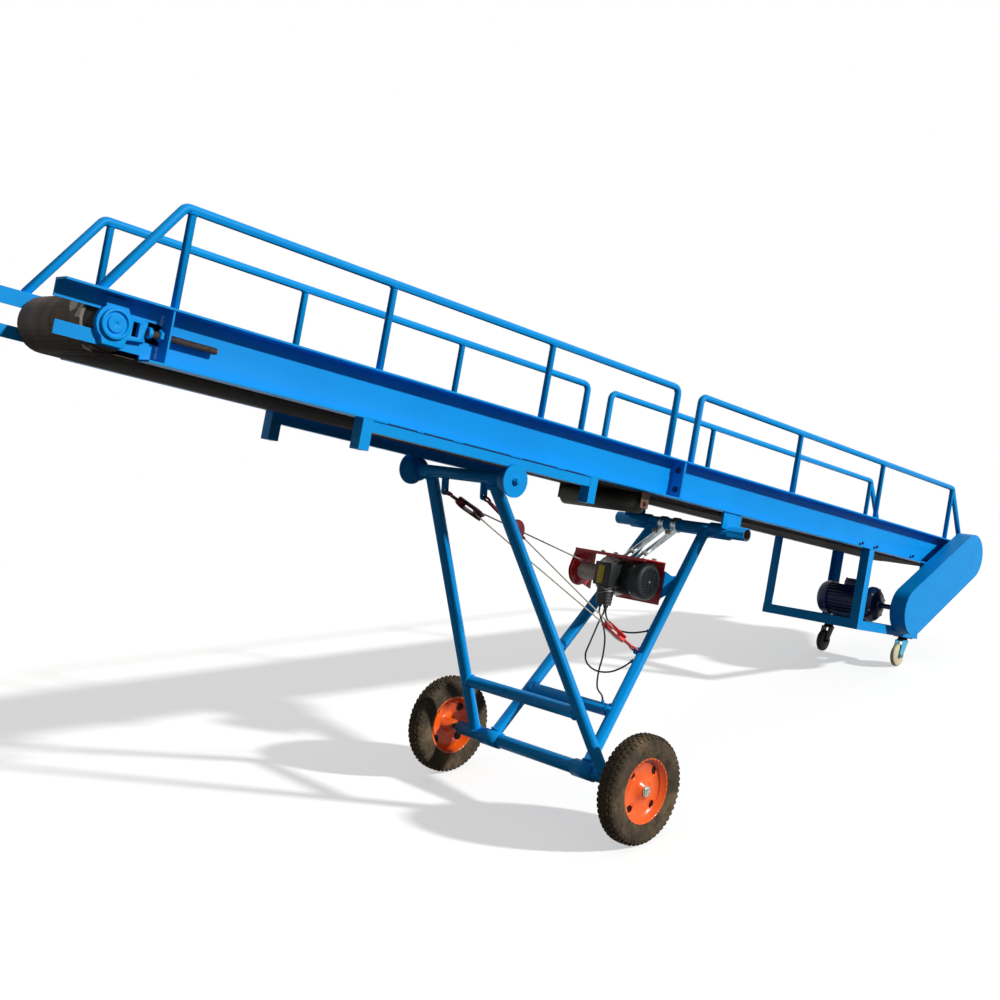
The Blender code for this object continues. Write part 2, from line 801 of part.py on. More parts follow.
CABLE_ROUTES = {
    "cable_loop": hung([
        (-0.128, -0.004, 0.0),
        (-0.129, -0.004, -0.022),
        (-0.146, -0.002, -0.060),
        (-0.168, -0.008, -0.100),
        (-0.204, -0.020, -0.159),
        (-0.238, -0.035, -0.213),
        (-0.244, -0.060, -0.248),
        (-0.220, -0.095, -0.270),
        (-0.175, -0.135, -0.265),
        (-0.138, -0.170, -0.236),
        (-0.116, -0.191, -0.208),
    ]),
    "cable_drop": hung([
        (-0.101, 0.048, 0.0),
        (-0.100, 0.048, -0.022),
        (-0.080, 0.040, -0.060),
        (-0.060, 0.024, -0.125),
        (-0.078, 0.000, -0.208),
        (-0.130, -0.035, -0.283),
        (-0.175, -0.080, -0.343),
        (-0.228, -0.160, -0.368),
        (-0.243, -0.180, -0.383),
    ]),
    "cable_link": hung([
        (-0.094, 0.016, 0.0),
        (-0.093, 0.016, -0.020),
        (-0.083, 0.000, -0.058),
        (-0.068, -0.048, -0.086),
        (-0.053, -0.105, -0.088),
        (-0.042, -0.150, -0.078),
        (-0.029, -0.182, -0.066),
    ]),
}


def gland(end, heading, inward=0.006):
    """A short stub that a cable meets end to end, where the heading points toward the cable."""
    heading = Vector(heading).normalized()
    face = Vector(end) - heading * GAP
    return rod(face - heading * (GLAND_REACH + inward), face, CABLE_RADIUS + 0.003, 12)


def cable_clips():
    """Stubs on the rear legs and their cross bar that hold the cables' other ends."""
    clips = []
    for name in sorted(CABLE_ROUTES):
        before, end = (Vector(point) for point in CABLE_ROUTES[name][-2:])
        clips.append(gland(end, before - end))
    return clips


HOIST_FRONT = HOIST_U - 0.050
HOIST_BACK = HOIST_U + 0.100
FRAME_TOP = HOIST_W + 0.100


rear = cross_rod(PIVOT_U, HINGE_W, -PIVOT_PIPE_HALF, PIVOT_PIPE_HALF, PIVOT_PIPE_RADIUS, 24)
rear = union(
    rear,
    leg(PIVOT_U, REAR_LEG_TOP_V, REAR_LEG_LOW_V, -1),
    leg(PIVOT_U, REAR_LEG_TOP_V, REAR_LEG_LOW_V, 1),
    cross_bar(PIVOT_U, REAR_LEG_TOP_V, REAR_LEG_LOW_V),
    *[
        cross_rod(AXLE_U, AXLE_W, v - SLEEVE_HALF, v + SLEEVE_HALF, AXLE_RADIUS + SLEEVE_WALL, 24)
        for v in (-REAR_LEG_LOW_V, REAR_LEG_LOW_V)
    ],
)
rear = cut(
    rear,
    cross_rod(PIVOT_U, HINGE_W, -0.5, 0.5, PIVOT_PIPE_BORE, 24),
    cross_rod(AXLE_U, AXLE_W, -0.5, 0.5, AXLE_RADIUS + GAP, 24),
)
lug_plate, lug_hole = eye_plate((LUG_EYE.x, LUG_EYE.z), (LUG_ROOT.x, LUG_ROOT.z), LUG_V, EYE_PLATE / 2)
rear = cut(union(rear, lug_plate, *cable_clips()), lug_hole)
keep(rear, "rear_leg_frame", BLUE, rear_legs)


# Front leg frame with the axle

ROLLER_CLEARANCE = 0.004
TUBE_SETBACK = 0.009
STUB_REACH = 0.019
AXLE_REACH = 0.042
TOP_TUBE_HALF = TRACK_INNER - TUBE_SETBACK
ROLLER_STUB = 0.014
STUB_END = TRACK_OUTER + STUB_REACH
AXLE_END = WHEEL_V + AXLE_REACH
front = cross_rod(ROLLER_U, HINGE_W, -TOP_TUBE_HALF, TOP_TUBE_HALF, TOP_TUBE_RADIUS)
front = union(
    front,
    cross_rod(ROLLER_U, HINGE_W, -STUB_END, STUB_END, ROLLER_STUB),
    leg(ROLLER_U, FRONT_LEG_TOP_V, FRONT_LEG_LOW_V, -1),
    leg(ROLLER_U, FRONT_LEG_TOP_V, FRONT_LEG_LOW_V, 1),
    cross_bar(ROLLER_U, FRONT_LEG_TOP_V, FRONT_LEG_LOW_V),
    cross_rod(AXLE_U, AXLE_W, -AXLE_HALF, AXLE_HALF, AXLE_RADIUS, 24),
    cross_rod(AXLE_U, AXLE_W, -AXLE_END, AXLE_END, HUB_BORE - GAP),
)
for eye_v in (EYE_FAR, EYE_NEAR):
    eye = front_eye(eye_v)
    eye_blank, eye_hole = eye_plate((eye.x, eye.z), (ROLLER_U, HINGE_W), eye_v, EYE_PLATE / 2)
    front = cut(union(front, eye_blank), eye_hole)
keep(front, "front_leg_frame", BLUE, front_legs)


# Guide rollers


def guide_roller(side):
    inner = TOP_TUBE_HALF + ROLLER_CLEARANCE
    shoulder = TRACK_OUTER + ROLLER_CLEARANCE
    outer = shoulder + ROLLER_FLANGE_THICK
    profile = [
        (ROLLER_BORE, side * outer),
        (ROLLER_FLANGE, side * outer),
        (ROLLER_FLANGE, side * shoulder),
        (ROLLER_TREAD, side * shoulder),
        (ROLLER_TREAD, side * inner),
        (ROLLER_BORE, side * inner),
    ]
    return turned(profile, ROLLER_U, 0.0, HINGE_W)


for label, side in SIDES:
    pin = empty("guide_roller_axis_" + label, ROLLER_U, 0, HINGE_W, front_legs)
    keep(guide_roller(side), "guide_roller_" + label, BLUE, pin)


# Road wheels


def rim(side):
    half = RIM_HALF
    barrel = [
        (RIM_SEAT - 0.004, half),
        (RIM_FLANGE, half),
        (RIM_FLANGE, half - 0.004),
        (RIM_SEAT, half - 0.004),
        (RIM_SEAT, -half + 0.004),
        (RIM_FLANGE, -half + 0.004),
        (RIM_FLANGE, -half),
        (RIM_SEAT - 0.004, -half),
    ]
    face = side * 0.012
    disc = [
        (HUB_BORE, side * 0.034),
        (0.026, side * 0.034),
        (0.034, face + side * 0.006),
        (0.060, face + side * 0.006),
        (RIM_SEAT - 0.002, face - side * 0.006),
        (RIM_SEAT - 0.002, face - side * 0.010),
        (0.060, face + side * 0.002),
        (0.028, face + side * 0.002),
        (0.026, side * -0.046),
        (HUB_BORE, side * -0.046),
    ]
    piece = union(
        turned(barrel, AXLE_U, side * WHEEL_V, AXLE_W, WHEEL_SIDES),
        turned(disc, AXLE_U, side * WHEEL_V, AXLE_W, WHEEL_SIDES),
    )
    holes = []
    for step in range(RIM_HOLES):
        turn = 2 * pi * step / RIM_HOLES + radians(53)
        u = AXLE_U + RIM_HOLE_RING * cos(turn)
        w = AXLE_W + RIM_HOLE_RING * sin(turn)
        holes.append(cross_rod(u, w, side * (WHEEL_V - 0.03), side * (WHEEL_V + 0.03), RIM_HOLE, 12))
    return cut(piece, *holes)


def tyre(side):
    inner = RIM_SEAT + GAP
    seat = RIM_HALF - 0.004 - GAP
    bulge = TYRE_WIDTH / 2
    crown = 0.034
    profile = [
        (inner, seat),
        (RIM_FLANGE + 0.004, seat),
        (RIM_FLANGE + 0.022, bulge - 0.003),
        (RIM_FLANGE + 0.044, bulge),
        (TYRE_RADIUS - 0.012, bulge - 0.008),
        (TYRE_RADIUS, crown / 2),
        (TYRE_RADIUS, -crown / 2),
        (TYRE_RADIUS - 0.012, -bulge + 0.008),
        (RIM_FLANGE + 0.044, -bulge),
        (RIM_FLANGE + 0.022, -bulge + 0.003),
        (RIM_FLANGE + 0.004, -seat),
        (inner, -seat),
    ]
    return turned(profile, AXLE_U, side * WHEEL_V, AXLE_W, WHEEL_SIDES)


for label, side in SIDES:
    axis = empty("wheel_axis_" + label, AXLE_U, side * WHEEL_V, AXLE_W, front_legs)
    keep(rim(side), "rim_" + label, ORANGE, axis)
    keep(tyre(side), "tyre_" + label, TYRE, axis)


# Drive frame under the lower end


def angle(corner, along, rise):
    """The outline of an angle bar from its outer corner, with a leg each way."""
    wall_a = POST_WALL if along > 0 else -POST_WALL
    wall_b = POST_WALL if rise > 0 else -POST_WALL
    return [
        corner,
        (corner[0] + along, corner[1]),
        (corner[0] + along, corner[1] + wall_b),
        (corner[0] + wall_a, corner[1] + wall_b),
        (corner[0] + wall_a, corner[1] + rise),
        (corner[0], corner[1] + rise),
    ]


def drive_frame():
    """Four angle uprights on a rectangle of angle, with two rails for the motor's feet."""
    size = POST_ANGLE
    bars = []
    for side in (-1, 1):
        corner = (side * FRAME_V, FRAME_BASE)
        bars.append(section(angle(corner, -side * size, size), FRAME_FRONT, FRAME_REAR))
    for edge, reach in ((FRAME_FRONT + LAP, size), (FRAME_REAR - LAP, -size)):
        bars.append(sheet(angle((edge, FRAME_BASE + LAP), reach, size + LAP), -FRAME_V + LAP, FRAME_V - LAP))
        for side in (-1, 1):
            corner = (edge + LAP * (1 if reach > 0 else -1), side * (FRAME_V - 2 * LAP))
            outline = angle(corner, reach + LAP, -side * (size + LAP))
            bars.append(plate(outline, FRAME_BASE + 3 * LAP, -BEAM_DEPTH - GAP, "W"))
    across = (-FRAME_V + 3 * LAP, FRAME_V - 3 * LAP)
    for u in (MOTOR_U - 0.09, MOTOR_U + 0.05):
        bars.append(box((u, u + 0.04), across, (FRAME_BASE + 4 * LAP, FEET_W)))
    return union(bars[0], *bars[1:])


keep(drive_frame(), "drive_frame", BLUE, conveyor, smooth=False)


def motor():
    body = cross_rod(MOTOR_U, MOTOR_W, -0.12, 0.13, MOTOR_RADIUS - 0.008, 32)
    bell = cross_rod(MOTOR_U, MOTOR_W, -0.17, -0.11, MOTOR_RADIUS, 32)
    cover = cross_rod(MOTOR_U, MOTOR_W, 0.12, 0.19, MOTOR_RADIUS - 0.002, 32)
    shaft = cross_rod(MOTOR_U, MOTOR_W, -0.34, -0.16, 0.014, 16)
    foot_top = MOTOR_W - MOTOR_RADIUS + 0.03
    foot_low = FEET_W + GAP
    foot = box((MOTOR_U - 0.085, MOTOR_U + 0.085), (-0.09, 0.10), (foot_low, foot_top))
    terminal = box((MOTOR_U - 0.045, MOTOR_U + 0.045), (-0.05, 0.05), (MOTOR_W + 0.05, MOTOR_W + 0.125))
    return union(body, bell, cover, shaft, foot, terminal)


keep(motor(), "drive_motor", NAVY, conveyor)


def belt_guard():
    low = (MOTOR_U, MOTOR_W)
    shell = sheet(stadium(low, GUARD_HIGH, GUARD_RADIUS, 20), -GUARD_FACE, -GUARD_BACK)
    room = stadium(low, GUARD_HIGH, GUARD_RADIUS - GUARD_SHEET, 20)
    return cut(shell, sheet(room, -GUARD_FACE + GUARD_SHEET, -GUARD_BACK + GUARD_LIP))


keep(belt_guard(), "belt_guard", BLUE, conveyor)


# Casters


def caster_plate(side):
    v = side * CASTER_V
    top = FRAME_BASE - GAP
    plate = box((CASTER_KING_U - 0.045, CASTER_KING_U + 0.045), (v - 0.036, v + 0.036), (top, top - 0.005))
    boss = rod((CASTER_KING_U, v, top - 0.004), (CASTER_KING_U, v, top - 0.014), 0.026)
    return union(plate, boss)


def caster_fork(side):
    v = side * CASTER_V
    wheel_u = CASTER_KING_U - CASTER_TRAIL
    wheel_w = FRAME_BASE - CASTER_DROP
    top = FRAME_BASE - GAP - 0.014 - GAP
    crown = rod((CASTER_KING_U, v, top), (CASTER_KING_U, v, top - 0.010), 0.030)
    ends = (CASTER_KING_U - 0.035, CASTER_KING_U + 0.026)
    bridge = box(ends, (v - 0.025, v + 0.025), (top - 0.006, top - 0.013))
    outline = [
        (CASTER_KING_U + 0.024, top - 0.007),
        (CASTER_KING_U - 0.034, top - 0.007),
        (wheel_u - 0.016, wheel_w - 0.004),
        (wheel_u - 0.008, wheel_w - 0.013),
        (wheel_u + 0.008, wheel_w - 0.013),
        (wheel_u + 0.017, wheel_w - 0.002),
    ]
    cheeks = [sheet(outline, v + hand * 0.0205, v + hand * 0.0250) for hand in (-1, 1)]
    bolt = cross_rod(wheel_u, wheel_w, v - 0.030, v + 0.030, 0.006, 12)
    return union(crown, bridge, *cheeks, bolt)


def caster_wheel(side):
    half = CASTER_WIDTH / 2
    profile = [
        (0.0063, half),
        (CASTER_RADIUS - 0.010, half - 0.002),
        (CASTER_RADIUS, half - 0.008),
        (CASTER_RADIUS, -half + 0.008),
        (CASTER_RADIUS - 0.010, -half + 0.002),
        (0.0063, -half),
    ]
    return turned(profile, CASTER_KING_U - CASTER_TRAIL, side * CASTER_V, FRAME_BASE - CASTER_DROP, 20)


for label, side in SIDES:
    king = empty("caster_axis_" + label, CASTER_KING_U, side * CASTER_V, FRAME_BASE, conveyor)
    spin = empty("caster_wheel_axis_" + label, CASTER_KING_U - CASTER_TRAIL, side * CASTER_V,
                 FRAME_BASE - CASTER_DROP, king)
    keep(caster_plate(side), "caster_plate_" + label, ZINC, conveyor)
    keep(caster_fork(side), "caster_fork_" + label, ZINC, king)
    keep(caster_wheel(side), "caster_wheel_" + label, CREAM if side < 0 else BLACK, spin)


# Hoist on the rear legs

CHEEK = 0.004


def hoist_frame():
    """A top plate with a lip in front, a back plate up to the far leg and a cheek at the drum's end."""
    front = HOIST_FRONT + LAP
    back = HOIST_BACK - LAP
    high = FRAME_TOP - LAP
    low = HOIST_W - 0.095
    length = (HOIST_FRAME_NEAR, HOIST_FAR)
    inset = (HOIST_FRAME_NEAR + LAP, HOIST_FAR - 2 * LAP)
    top = box((HOIST_FRONT, HOIST_BACK), length, (FRAME_TOP, FRAME_TOP - CHEEK))
    lip = box((front, front + CHEEK), inset, (high, FRAME_TOP - HOIST_LIP))
    rear = box((back - CHEEK, back), (inset[0], HOIST_BACK_PLATE), (high, low))
    outline = arc((HOIST_U, HOIST_W), 0.074, 175, 300, 12)
    outline += [(back - LAP, low + 0.012), (back - LAP, high - LAP), (front + 0.004, high - LAP)]
    far = sheet(outline, HOIST_FAR - CHEEK - LAP, HOIST_FAR - LAP)
    return union(top, lip, rear, far)


keep(hoist_frame(), "hoist_frame", RED, rear_legs, smooth=False)

GEAR_NEAR = 0.040
GEAR_FAR = 0.135


def hoist_drum():
    far = HOIST_FAR - LAP - CHEEK - GAP
    near = GEAR_FAR + GAP
    profile = [
        (0.0, far),
        (DRUM_CORE, far),
        (DRUM_FLANGE, far - 0.006),
        (DRUM_FLANGE, far - 0.010),
        (DRUM_CORE, far - 0.012),
        (DRUM_CORE, near + 0.012),
        (DRUM_FLANGE, near + 0.010),
        (DRUM_FLANGE, near + 0.006),
        (DRUM_CORE, near),
        (0.0, near),
    ]
    return turned(profile, HOIST_U, 0.0, HOIST_W)


keep(hoist_drum(), "hoist_drum", RED, rear_legs)

GEAR_RADIUS = 0.086
gear_profile = [
    (0.0, GEAR_FAR),
    (GEAR_RADIUS - 0.008, GEAR_FAR),
    (GEAR_RADIUS, GEAR_FAR - 0.01),
    (GEAR_RADIUS, GEAR_NEAR + 0.01),
    (GEAR_RADIUS - 0.008, GEAR_NEAR),
    (0.0, GEAR_NEAR),
]
gearbox = turned(gear_profile, HOIST_U, 0.0, HOIST_W)
lug_heights = (HOIST_W + 0.05, FRAME_TOP - CHEEK - GAP)
lug = box((HOIST_U - 0.04, HOIST_U + 0.04), (GEAR_NEAR + 0.02, GEAR_FAR - 0.02), lug_heights)
keep(union(gearbox, lug), "hoist_gearbox", ALLOY, rear_legs)

FAN_END = HOIST_NEAR + 0.062
hoist_motor = cross_rod(HOIST_U, HOIST_W, GEAR_NEAR - GAP, FAN_END, 0.074, 24)
keep(hoist_motor, "hoist_motor", BLACK, rear_legs)

fan_cover = turned(
    [
        (0.0, FAN_END - GAP),
        (0.084, FAN_END - GAP),
        (0.084, HOIST_NEAR + 0.010),
        (0.074, HOIST_NEAR),
        (0.0, HOIST_NEAR),
    ],
    HOIST_U,
    0.0,
    HOIST_W,
)
keep(fan_cover, "hoist_fan_cover", BLACK, rear_legs)

switch_box = box((HOIST_U - 0.150, HOIST_U - 0.072), (-0.020, 0.075), (BOX_LOW, BOX_TOP))
boot = box((HOIST_U - 0.142, HOIST_U - 0.080), (-0.016, 0.062), (BOX_LOW + 0.004, BOOT_LOW))
saddle = cross_rod(HOIST_U, HOIST_W, -0.1, 0.2, GEAR_RADIUS + 3 * GAP, 48)
switch_box = union(cut(switch_box, saddle), boot)
glands = [gland(CABLE_ROUTES[name][0], (0, 0, -1)) for name in sorted(CABLE_ROUTES)]
keep(union(switch_box, *glands), "hoist_switch_box", BLACK, rear_legs, smooth=False)


def hoist_hanger(v):
    """A strap round the pivot pipe with a leg down to the hoist's top plate."""
    ring = cross_rod(PIVOT_U, HINGE_W, v - 0.014, v + 0.014, PIVOT_PIPE_RADIUS + 0.006, 24)
    foot = (HOIST_BACK - 0.030, FRAME_TOP + GAP)
    outline = [
        (PIVOT_U - 0.020, HINGE_W - 0.020),
        (foot[0] - 0.015, foot[1]),
        (foot[0] + 0.030, foot[1]),
        (PIVOT_U + 0.020, HINGE_W - 0.022),
    ]
    strap = sheet(outline, v - 0.006, v + 0.006)
    bore = cross_rod(PIVOT_U, HINGE_W, v - 0.05, v + 0.05, PIVOT_PIPE_RADIUS + GAP, 24)
    return cut(union(ring, strap), bore)


keep(hoist_hanger(0.020), "hoist_hanger_near", ZINC, rear_legs)
keep(hoist_hanger(0.095), "hoist_hanger_far", ZINC, rear_legs)


# Rope tackle: two blocks, an anchor and one rope


def unit(vector):
    return Vector(vector).normalized()


def ring(eye, heading):
    """A ring of round bar through an eye whose hole runs across V."""
    across = Vector((0, 1, 0))
    across = unit(across - heading * across.dot(heading))
    middle = eye + heading * RING_RADIUS
    turn = [2 * pi * step / 12 for step in range(12)]
    points = [middle + (heading * cos(angle) + across * sin(angle)) * RING_RADIUS for angle in turn]
    return pipe(points, RING_WIRE, 1, closed=True)


def sheave_axes(middle, eye, first, second):
    """Toward the eye, along the sheave's pin, and across them, as a turn matrix."""
    pin = unit((first - middle).cross(second - middle))
    toward = eye - middle
    toward = unit(toward - pin * toward.dot(pin))
    return Matrix((toward, pin, toward.cross(pin))).transposed()


def pulley_block(middle, eye, turn, cheek_length):
    """Two cheeks round a sheave, with a shank to a ring in the eye."""
    outline = stadium((0.0, 0.0), (cheek_length, 0.0), SHEAVE_CHEEK, 6)
    cheeks = [sheet(outline, hand * BLOCK_CHEEKS, hand * (BLOCK_CHEEKS + 0.004)) for hand in (-1, 1)]
    half = BLOCK_CHEEKS - 0.0015
    pin = BLOCK_CHEEKS + 0.007
    groove = SHEAVE_RADIUS - 0.004
    profile = [(0.0, pin), (0.007, pin), (0.007, half), (SHEAVE_RADIUS, half), (groove, 0.0)]
    profile += [(SHEAVE_RADIUS, -half), (0.007, -half), (0.007, -pin), (0.0, -pin)]
    sheave = turned(profile, 0.0, 0.0, 0.0, 16)
    spacer = box((cheek_length - 0.012, cheek_length + 0.020), (-BLOCK_CHEEKS - 0.002, BLOCK_CHEEKS + 0.002),
                 (-0.014, 0.014))
    block = union(sheave, cheeks[0], cheeks[1], spacer)
    block.data.transform(Matrix.Translation(middle) @ turn.to_4x4())
    heading = unit(middle - eye)
    start = middle + turn @ Vector((cheek_length + 0.008, 0, 0))
    shank = rod(start, eye + heading * (2 * RING_RADIUS), 0.007, 10)
    return union(block, shank, ring(eye, heading))


FAR_EYE = front_eye(EYE_FAR)
NEAR_EYE = front_eye(EYE_NEAR)
DRUM_EXIT = Vector((HOIST_U, 0.250, HOIST_W))

hook_middle = LUG_EYE + unit(FAR_EYE + NEAR_EYE - 2 * LUG_EYE) * HOOK_BLOCK_LENGTH
front_pull = unit(unit(DRUM_EXIT - FAR_EYE) + unit(hook_middle - FAR_EYE))
front_middle = FAR_EYE + front_pull * BLOCK_LENGTH
anchor_middle = NEAR_EYE + unit(hook_middle - NEAR_EYE) * ANCHOR_LENGTH

front_turn = sheave_axes(front_middle, FAR_EYE, DRUM_EXIT, hook_middle)
hook_turn = sheave_axes(hook_middle, LUG_EYE, front_middle, anchor_middle)
keep(pulley_block(front_middle, FAR_EYE, front_turn, 0.100), "rope_block_front", BLACK, front_legs)
keep(pulley_block(hook_middle, LUG_EYE, hook_turn, 0.090), "rope_block_rear", RED, rear_legs)

rope_heading = unit(hook_middle - anchor_middle)
SOCKET_REACH = ANCHOR_RADIUS + 0.014


def rope_anchor():
    """A round plate hung from the near eye by a strap, with the socket that holds the rope's end."""
    half = 0.009
    profile = [(0.0, half), (ANCHOR_RADIUS - 0.004, half), (ANCHOR_RADIUS, half - 0.004)]
    profile += [(ANCHOR_RADIUS, -half + 0.004), (ANCHOR_RADIUS - 0.004, -half), (0.0, -half)]
    disc = turned(profile, anchor_middle.x, anchor_middle.y, anchor_middle.z, 20)
    heading = unit(anchor_middle - NEAR_EYE)
    strap = rod(anchor_middle - heading * 0.02, NEAR_EYE + heading * (2 * RING_RADIUS), 0.0075, 10)
    socket = rod(anchor_middle + rope_heading * 0.03, anchor_middle + rope_heading * SOCKET_REACH, 0.006, 10)
    return union(disc, strap, ring(NEAR_EYE, heading), socket)


keep(rope_anchor(), "rope_anchor", RED, front_legs)


def smooth_route(points, spacing):
    """Points along a smooth curve through the given ones, near enough together to look round."""
    points = [Vector(point) for point in points]
    before = points[0] * 2 - points[1]
    after = points[-1] * 2 - points[-2]
    chain = [before, *points, after]
    route = [points[0]]
    for a, b, c, d in zip(chain, chain[1:], chain[2:], chain[3:]):
        steps = max(1, round((c - b).length / spacing))
        first = knot(a, b)
        middle = knot(b, c)
        last = knot(c, d)
        enter = ((b - a) / first - (c - a) / (first + middle) + (c - b) / middle) * middle
        leave = ((c - b) / middle - (d - b) / (middle + last) + (d - c) / last) * middle
        for step in range(1, steps + 1):
            t = step / steps
            route.append(
                b * (2 * t**3 - 3 * t**2 + 1)
                + enter * (t**3 - 2 * t**2 + t)
                + c * (3 * t**2 - 2 * t**3)
                + leave * (t**3 - t**2)
            )
    return route


def knot(start, end):
    return (end - start).length ** 0.5


WRAP = SHEAVE_RADIUS + ROPE_RADIUS + GAP


def wrap(middle, turn, first, second, steps=6):
    """Where a rope lies round a sheave, from the fall to the first point to the fall to the second."""
    local = [turn.transposed() @ (point - middle) for point in (first, second)]
    headings = [atan2(place.z, place.x) for place in local]
    swing = asin(WRAP / (first - middle).length), asin(WRAP / (second - middle).length)
    hand = 1 if headings[0] % (2 * pi) > headings[1] % (2 * pi) else -1
    start = headings[0] % (2 * pi) + hand * (pi / 2 - swing[0])
    stop = headings[1] % (2 * pi) - hand * (pi / 2 - swing[1]) + hand * 2 * pi
    places = []
    for step in range(steps + 1):
        angle = start + (stop - start) * step / steps
        places.append(middle + turn @ Vector((WRAP * cos(angle), 0, WRAP * sin(angle))))
    return places


drum_layer = DRUM_CORE + ROPE_RADIUS + 2 * GAP
fall = front_middle - DRUM_EXIT
drum_touch = DRUM_EXIT + unit((fall.z, 0, -fall.x)) * drum_layer
rope_end = anchor_middle + rope_heading * (SOCKET_REACH + GAP)
rope_points = [drum_touch]
rope_points += wrap(front_middle, front_turn, drum_touch, hook_middle)
rope_points += wrap(hook_middle, hook_turn, front_middle, rope_end)
rope_points += [rope_end]
keep(pipe(smooth_route(rope_points, 0.120), ROPE_RADIUS, 2), "hoist_rope", ZINC, rear_legs)

for cable in sorted(CABLE_ROUTES):
    keep(pipe(smooth_route(CABLE_ROUTES[cable], 0.020), CABLE_RADIUS, 2), cable, BLACK, rear_legs)


# Standing height and centring

conveyor.rotation_euler = (0.0, TILT, 0.0)
bpy.context.view_layer.update()


def centre_on_floor():
    graph = bpy.context.evaluated_depsgraph_get()
    low = Vector((1e9, 1e9, 1e9))
    high = Vector((-1e9, -1e9, -1e9))
    for obj in parts.objects:
        if obj.type != "MESH":
            continue
        world = obj.evaluated_get(graph).matrix_world
        for vertex in obj.data.vertices:
            place = world @ vertex.co
            low = Vector(map(min, low, place))
            high = Vector(map(max, high, place))
    conveyor.location = (-(low.x + high.x) / 2, -(low.y + high.y) / 2, -low.z)
    bpy.context.view_layer.update()


centre_on_floor()
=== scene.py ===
import json
from math import atan2, cos, pi, radians, sin

import bmesh
import bpy
from mathutils import Matrix, Vector


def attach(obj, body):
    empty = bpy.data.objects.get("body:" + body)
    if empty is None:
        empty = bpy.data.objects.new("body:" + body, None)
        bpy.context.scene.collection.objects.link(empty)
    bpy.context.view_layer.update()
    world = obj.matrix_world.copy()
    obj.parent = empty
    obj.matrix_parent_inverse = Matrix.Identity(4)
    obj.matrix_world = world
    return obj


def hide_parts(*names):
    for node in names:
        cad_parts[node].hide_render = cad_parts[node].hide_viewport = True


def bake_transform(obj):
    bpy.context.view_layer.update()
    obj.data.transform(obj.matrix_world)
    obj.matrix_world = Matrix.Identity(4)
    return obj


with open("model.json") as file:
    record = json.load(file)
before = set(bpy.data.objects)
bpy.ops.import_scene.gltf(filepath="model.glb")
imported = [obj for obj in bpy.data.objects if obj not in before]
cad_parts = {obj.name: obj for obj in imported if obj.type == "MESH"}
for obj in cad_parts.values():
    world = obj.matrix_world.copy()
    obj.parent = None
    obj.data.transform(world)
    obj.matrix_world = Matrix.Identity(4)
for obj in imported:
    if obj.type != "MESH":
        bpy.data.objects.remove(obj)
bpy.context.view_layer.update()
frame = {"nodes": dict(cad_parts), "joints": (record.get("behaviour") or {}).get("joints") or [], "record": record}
nodes = frame["nodes"]
bodyOf = {name: body for body, names in frame["record"]["behaviour"]["bodies"].items() for name in names}
scene = bpy.context.scene
scene.view_settings.view_transform = "Standard"

# The conveyor's own frame: u runs down the belt, v to the far side, w up from the beams.
joints = {joint["name"]: joint for joint in frame["joints"]}
swivel = joints["caster_swivel_near"]["axis"]
slope = atan2(swivel[0], swivel[2])
legPivot = Vector((2.915, 0, -0.2576))
turnToWorld = Matrix.Rotation(slope, 4, "Y")
toWorld = Matrix.Translation(Vector(joints["rear_leg_hinge"]["pos_m"]) - turnToWorld @ legPivot) @ turnToWorld


def newObject(name, data):
    made = bpy.data.objects.new(name, data)
    scene.collection.objects.link(made)
    return made


cameraView = {
    "position": (-1.675, -3.503, -0.519),
    "right": (0.70189, -0.68985, 0.17737),
    "forward": (0.69520, 0.71769, 0.04023),
    "focalPixels": 1208.73,
    "imagePixels": 1000,
    "sensor": 36.0,
    "clipEnd": 200,
}


def makeCamera(view):
    data = bpy.data.cameras.new("camera")
    data.sensor_width = view["sensor"]
    data.lens = view["sensor"] * view["focalPixels"] / view["imagePixels"]
    data.clip_end = view["clipEnd"]
    camera = newObject("camera", data)
    forward = Vector(view["forward"]).normalized()
    right = Vector(view["right"])
    right = (right - forward * right.dot(forward)).normalized()
    turn = Matrix((right, right.cross(forward), -forward)).transposed().to_4x4()
    camera.matrix_world = toWorld @ Matrix.Translation(view["position"]) @ turn
    scene.camera = camera


makeCamera(cameraView)
print("camera placed")


def srgb(code):
    channels = [int(code[i : i + 2], 16) / 255 for i in (1, 3, 5)]
    return (*[c / 12.92 if c <= 0.04045 else ((c + 0.055) / 1.055) ** 2.4 for c in channels], 1.0)


def addNode(tree, kind, settings=None, **inputs):
    node = tree.nodes.new(kind)
    for name, value in (settings or {}).items():
        setattr(node, name, value)
    for name, value in inputs.items():
        numbered = name[0] == "i" and name[1:].isdigit()
        socket = node.inputs[int(name[1:])] if numbered else node.inputs[name.replace("_", " ")]
        if isinstance(value, bpy.types.NodeSocket):
            tree.links.new(value, socket)
        else:
            socket.default_value = value
    return node


def newMaterial(name, **sockets):
    material = bpy.data.materials.new(name)
    material.use_nodes = True
    tree = material.node_tree
    shader = tree.nodes["Principled BSDF"]
    for socket, value in sockets.items():
        shader.inputs[socket.replace("_", " ")].default_value = value
    return material, tree, shader


def mottle(tree, shader, light, dark, scale, detail=5.0, high=0.7, stretch=(1, 1, 1)):
    # two tones blended by noise in real metres, so that no surface is one flat colour
    coords = addNode(tree, "ShaderNodeTexCoord")
    mapping = addNode(tree, "ShaderNodeMapping", i0=coords.outputs["Object"], Scale=stretch)
    noise = addNode(tree, "ShaderNodeTexNoise", i0=mapping.outputs[0], Scale=scale, Detail=detail,
                    Roughness=0.6)
    ramp = addNode(tree, "ShaderNodeValToRGB", i0=noise.outputs["Fac"])
    for element, spot, tone in zip(ramp.color_ramp.elements, (0.3, high), (dark, light)):
        element.position = spot
        element.color = srgb(tone)
    tree.links.new(ramp.outputs["Color"], shader.inputs["Base Color"])
    return mapping


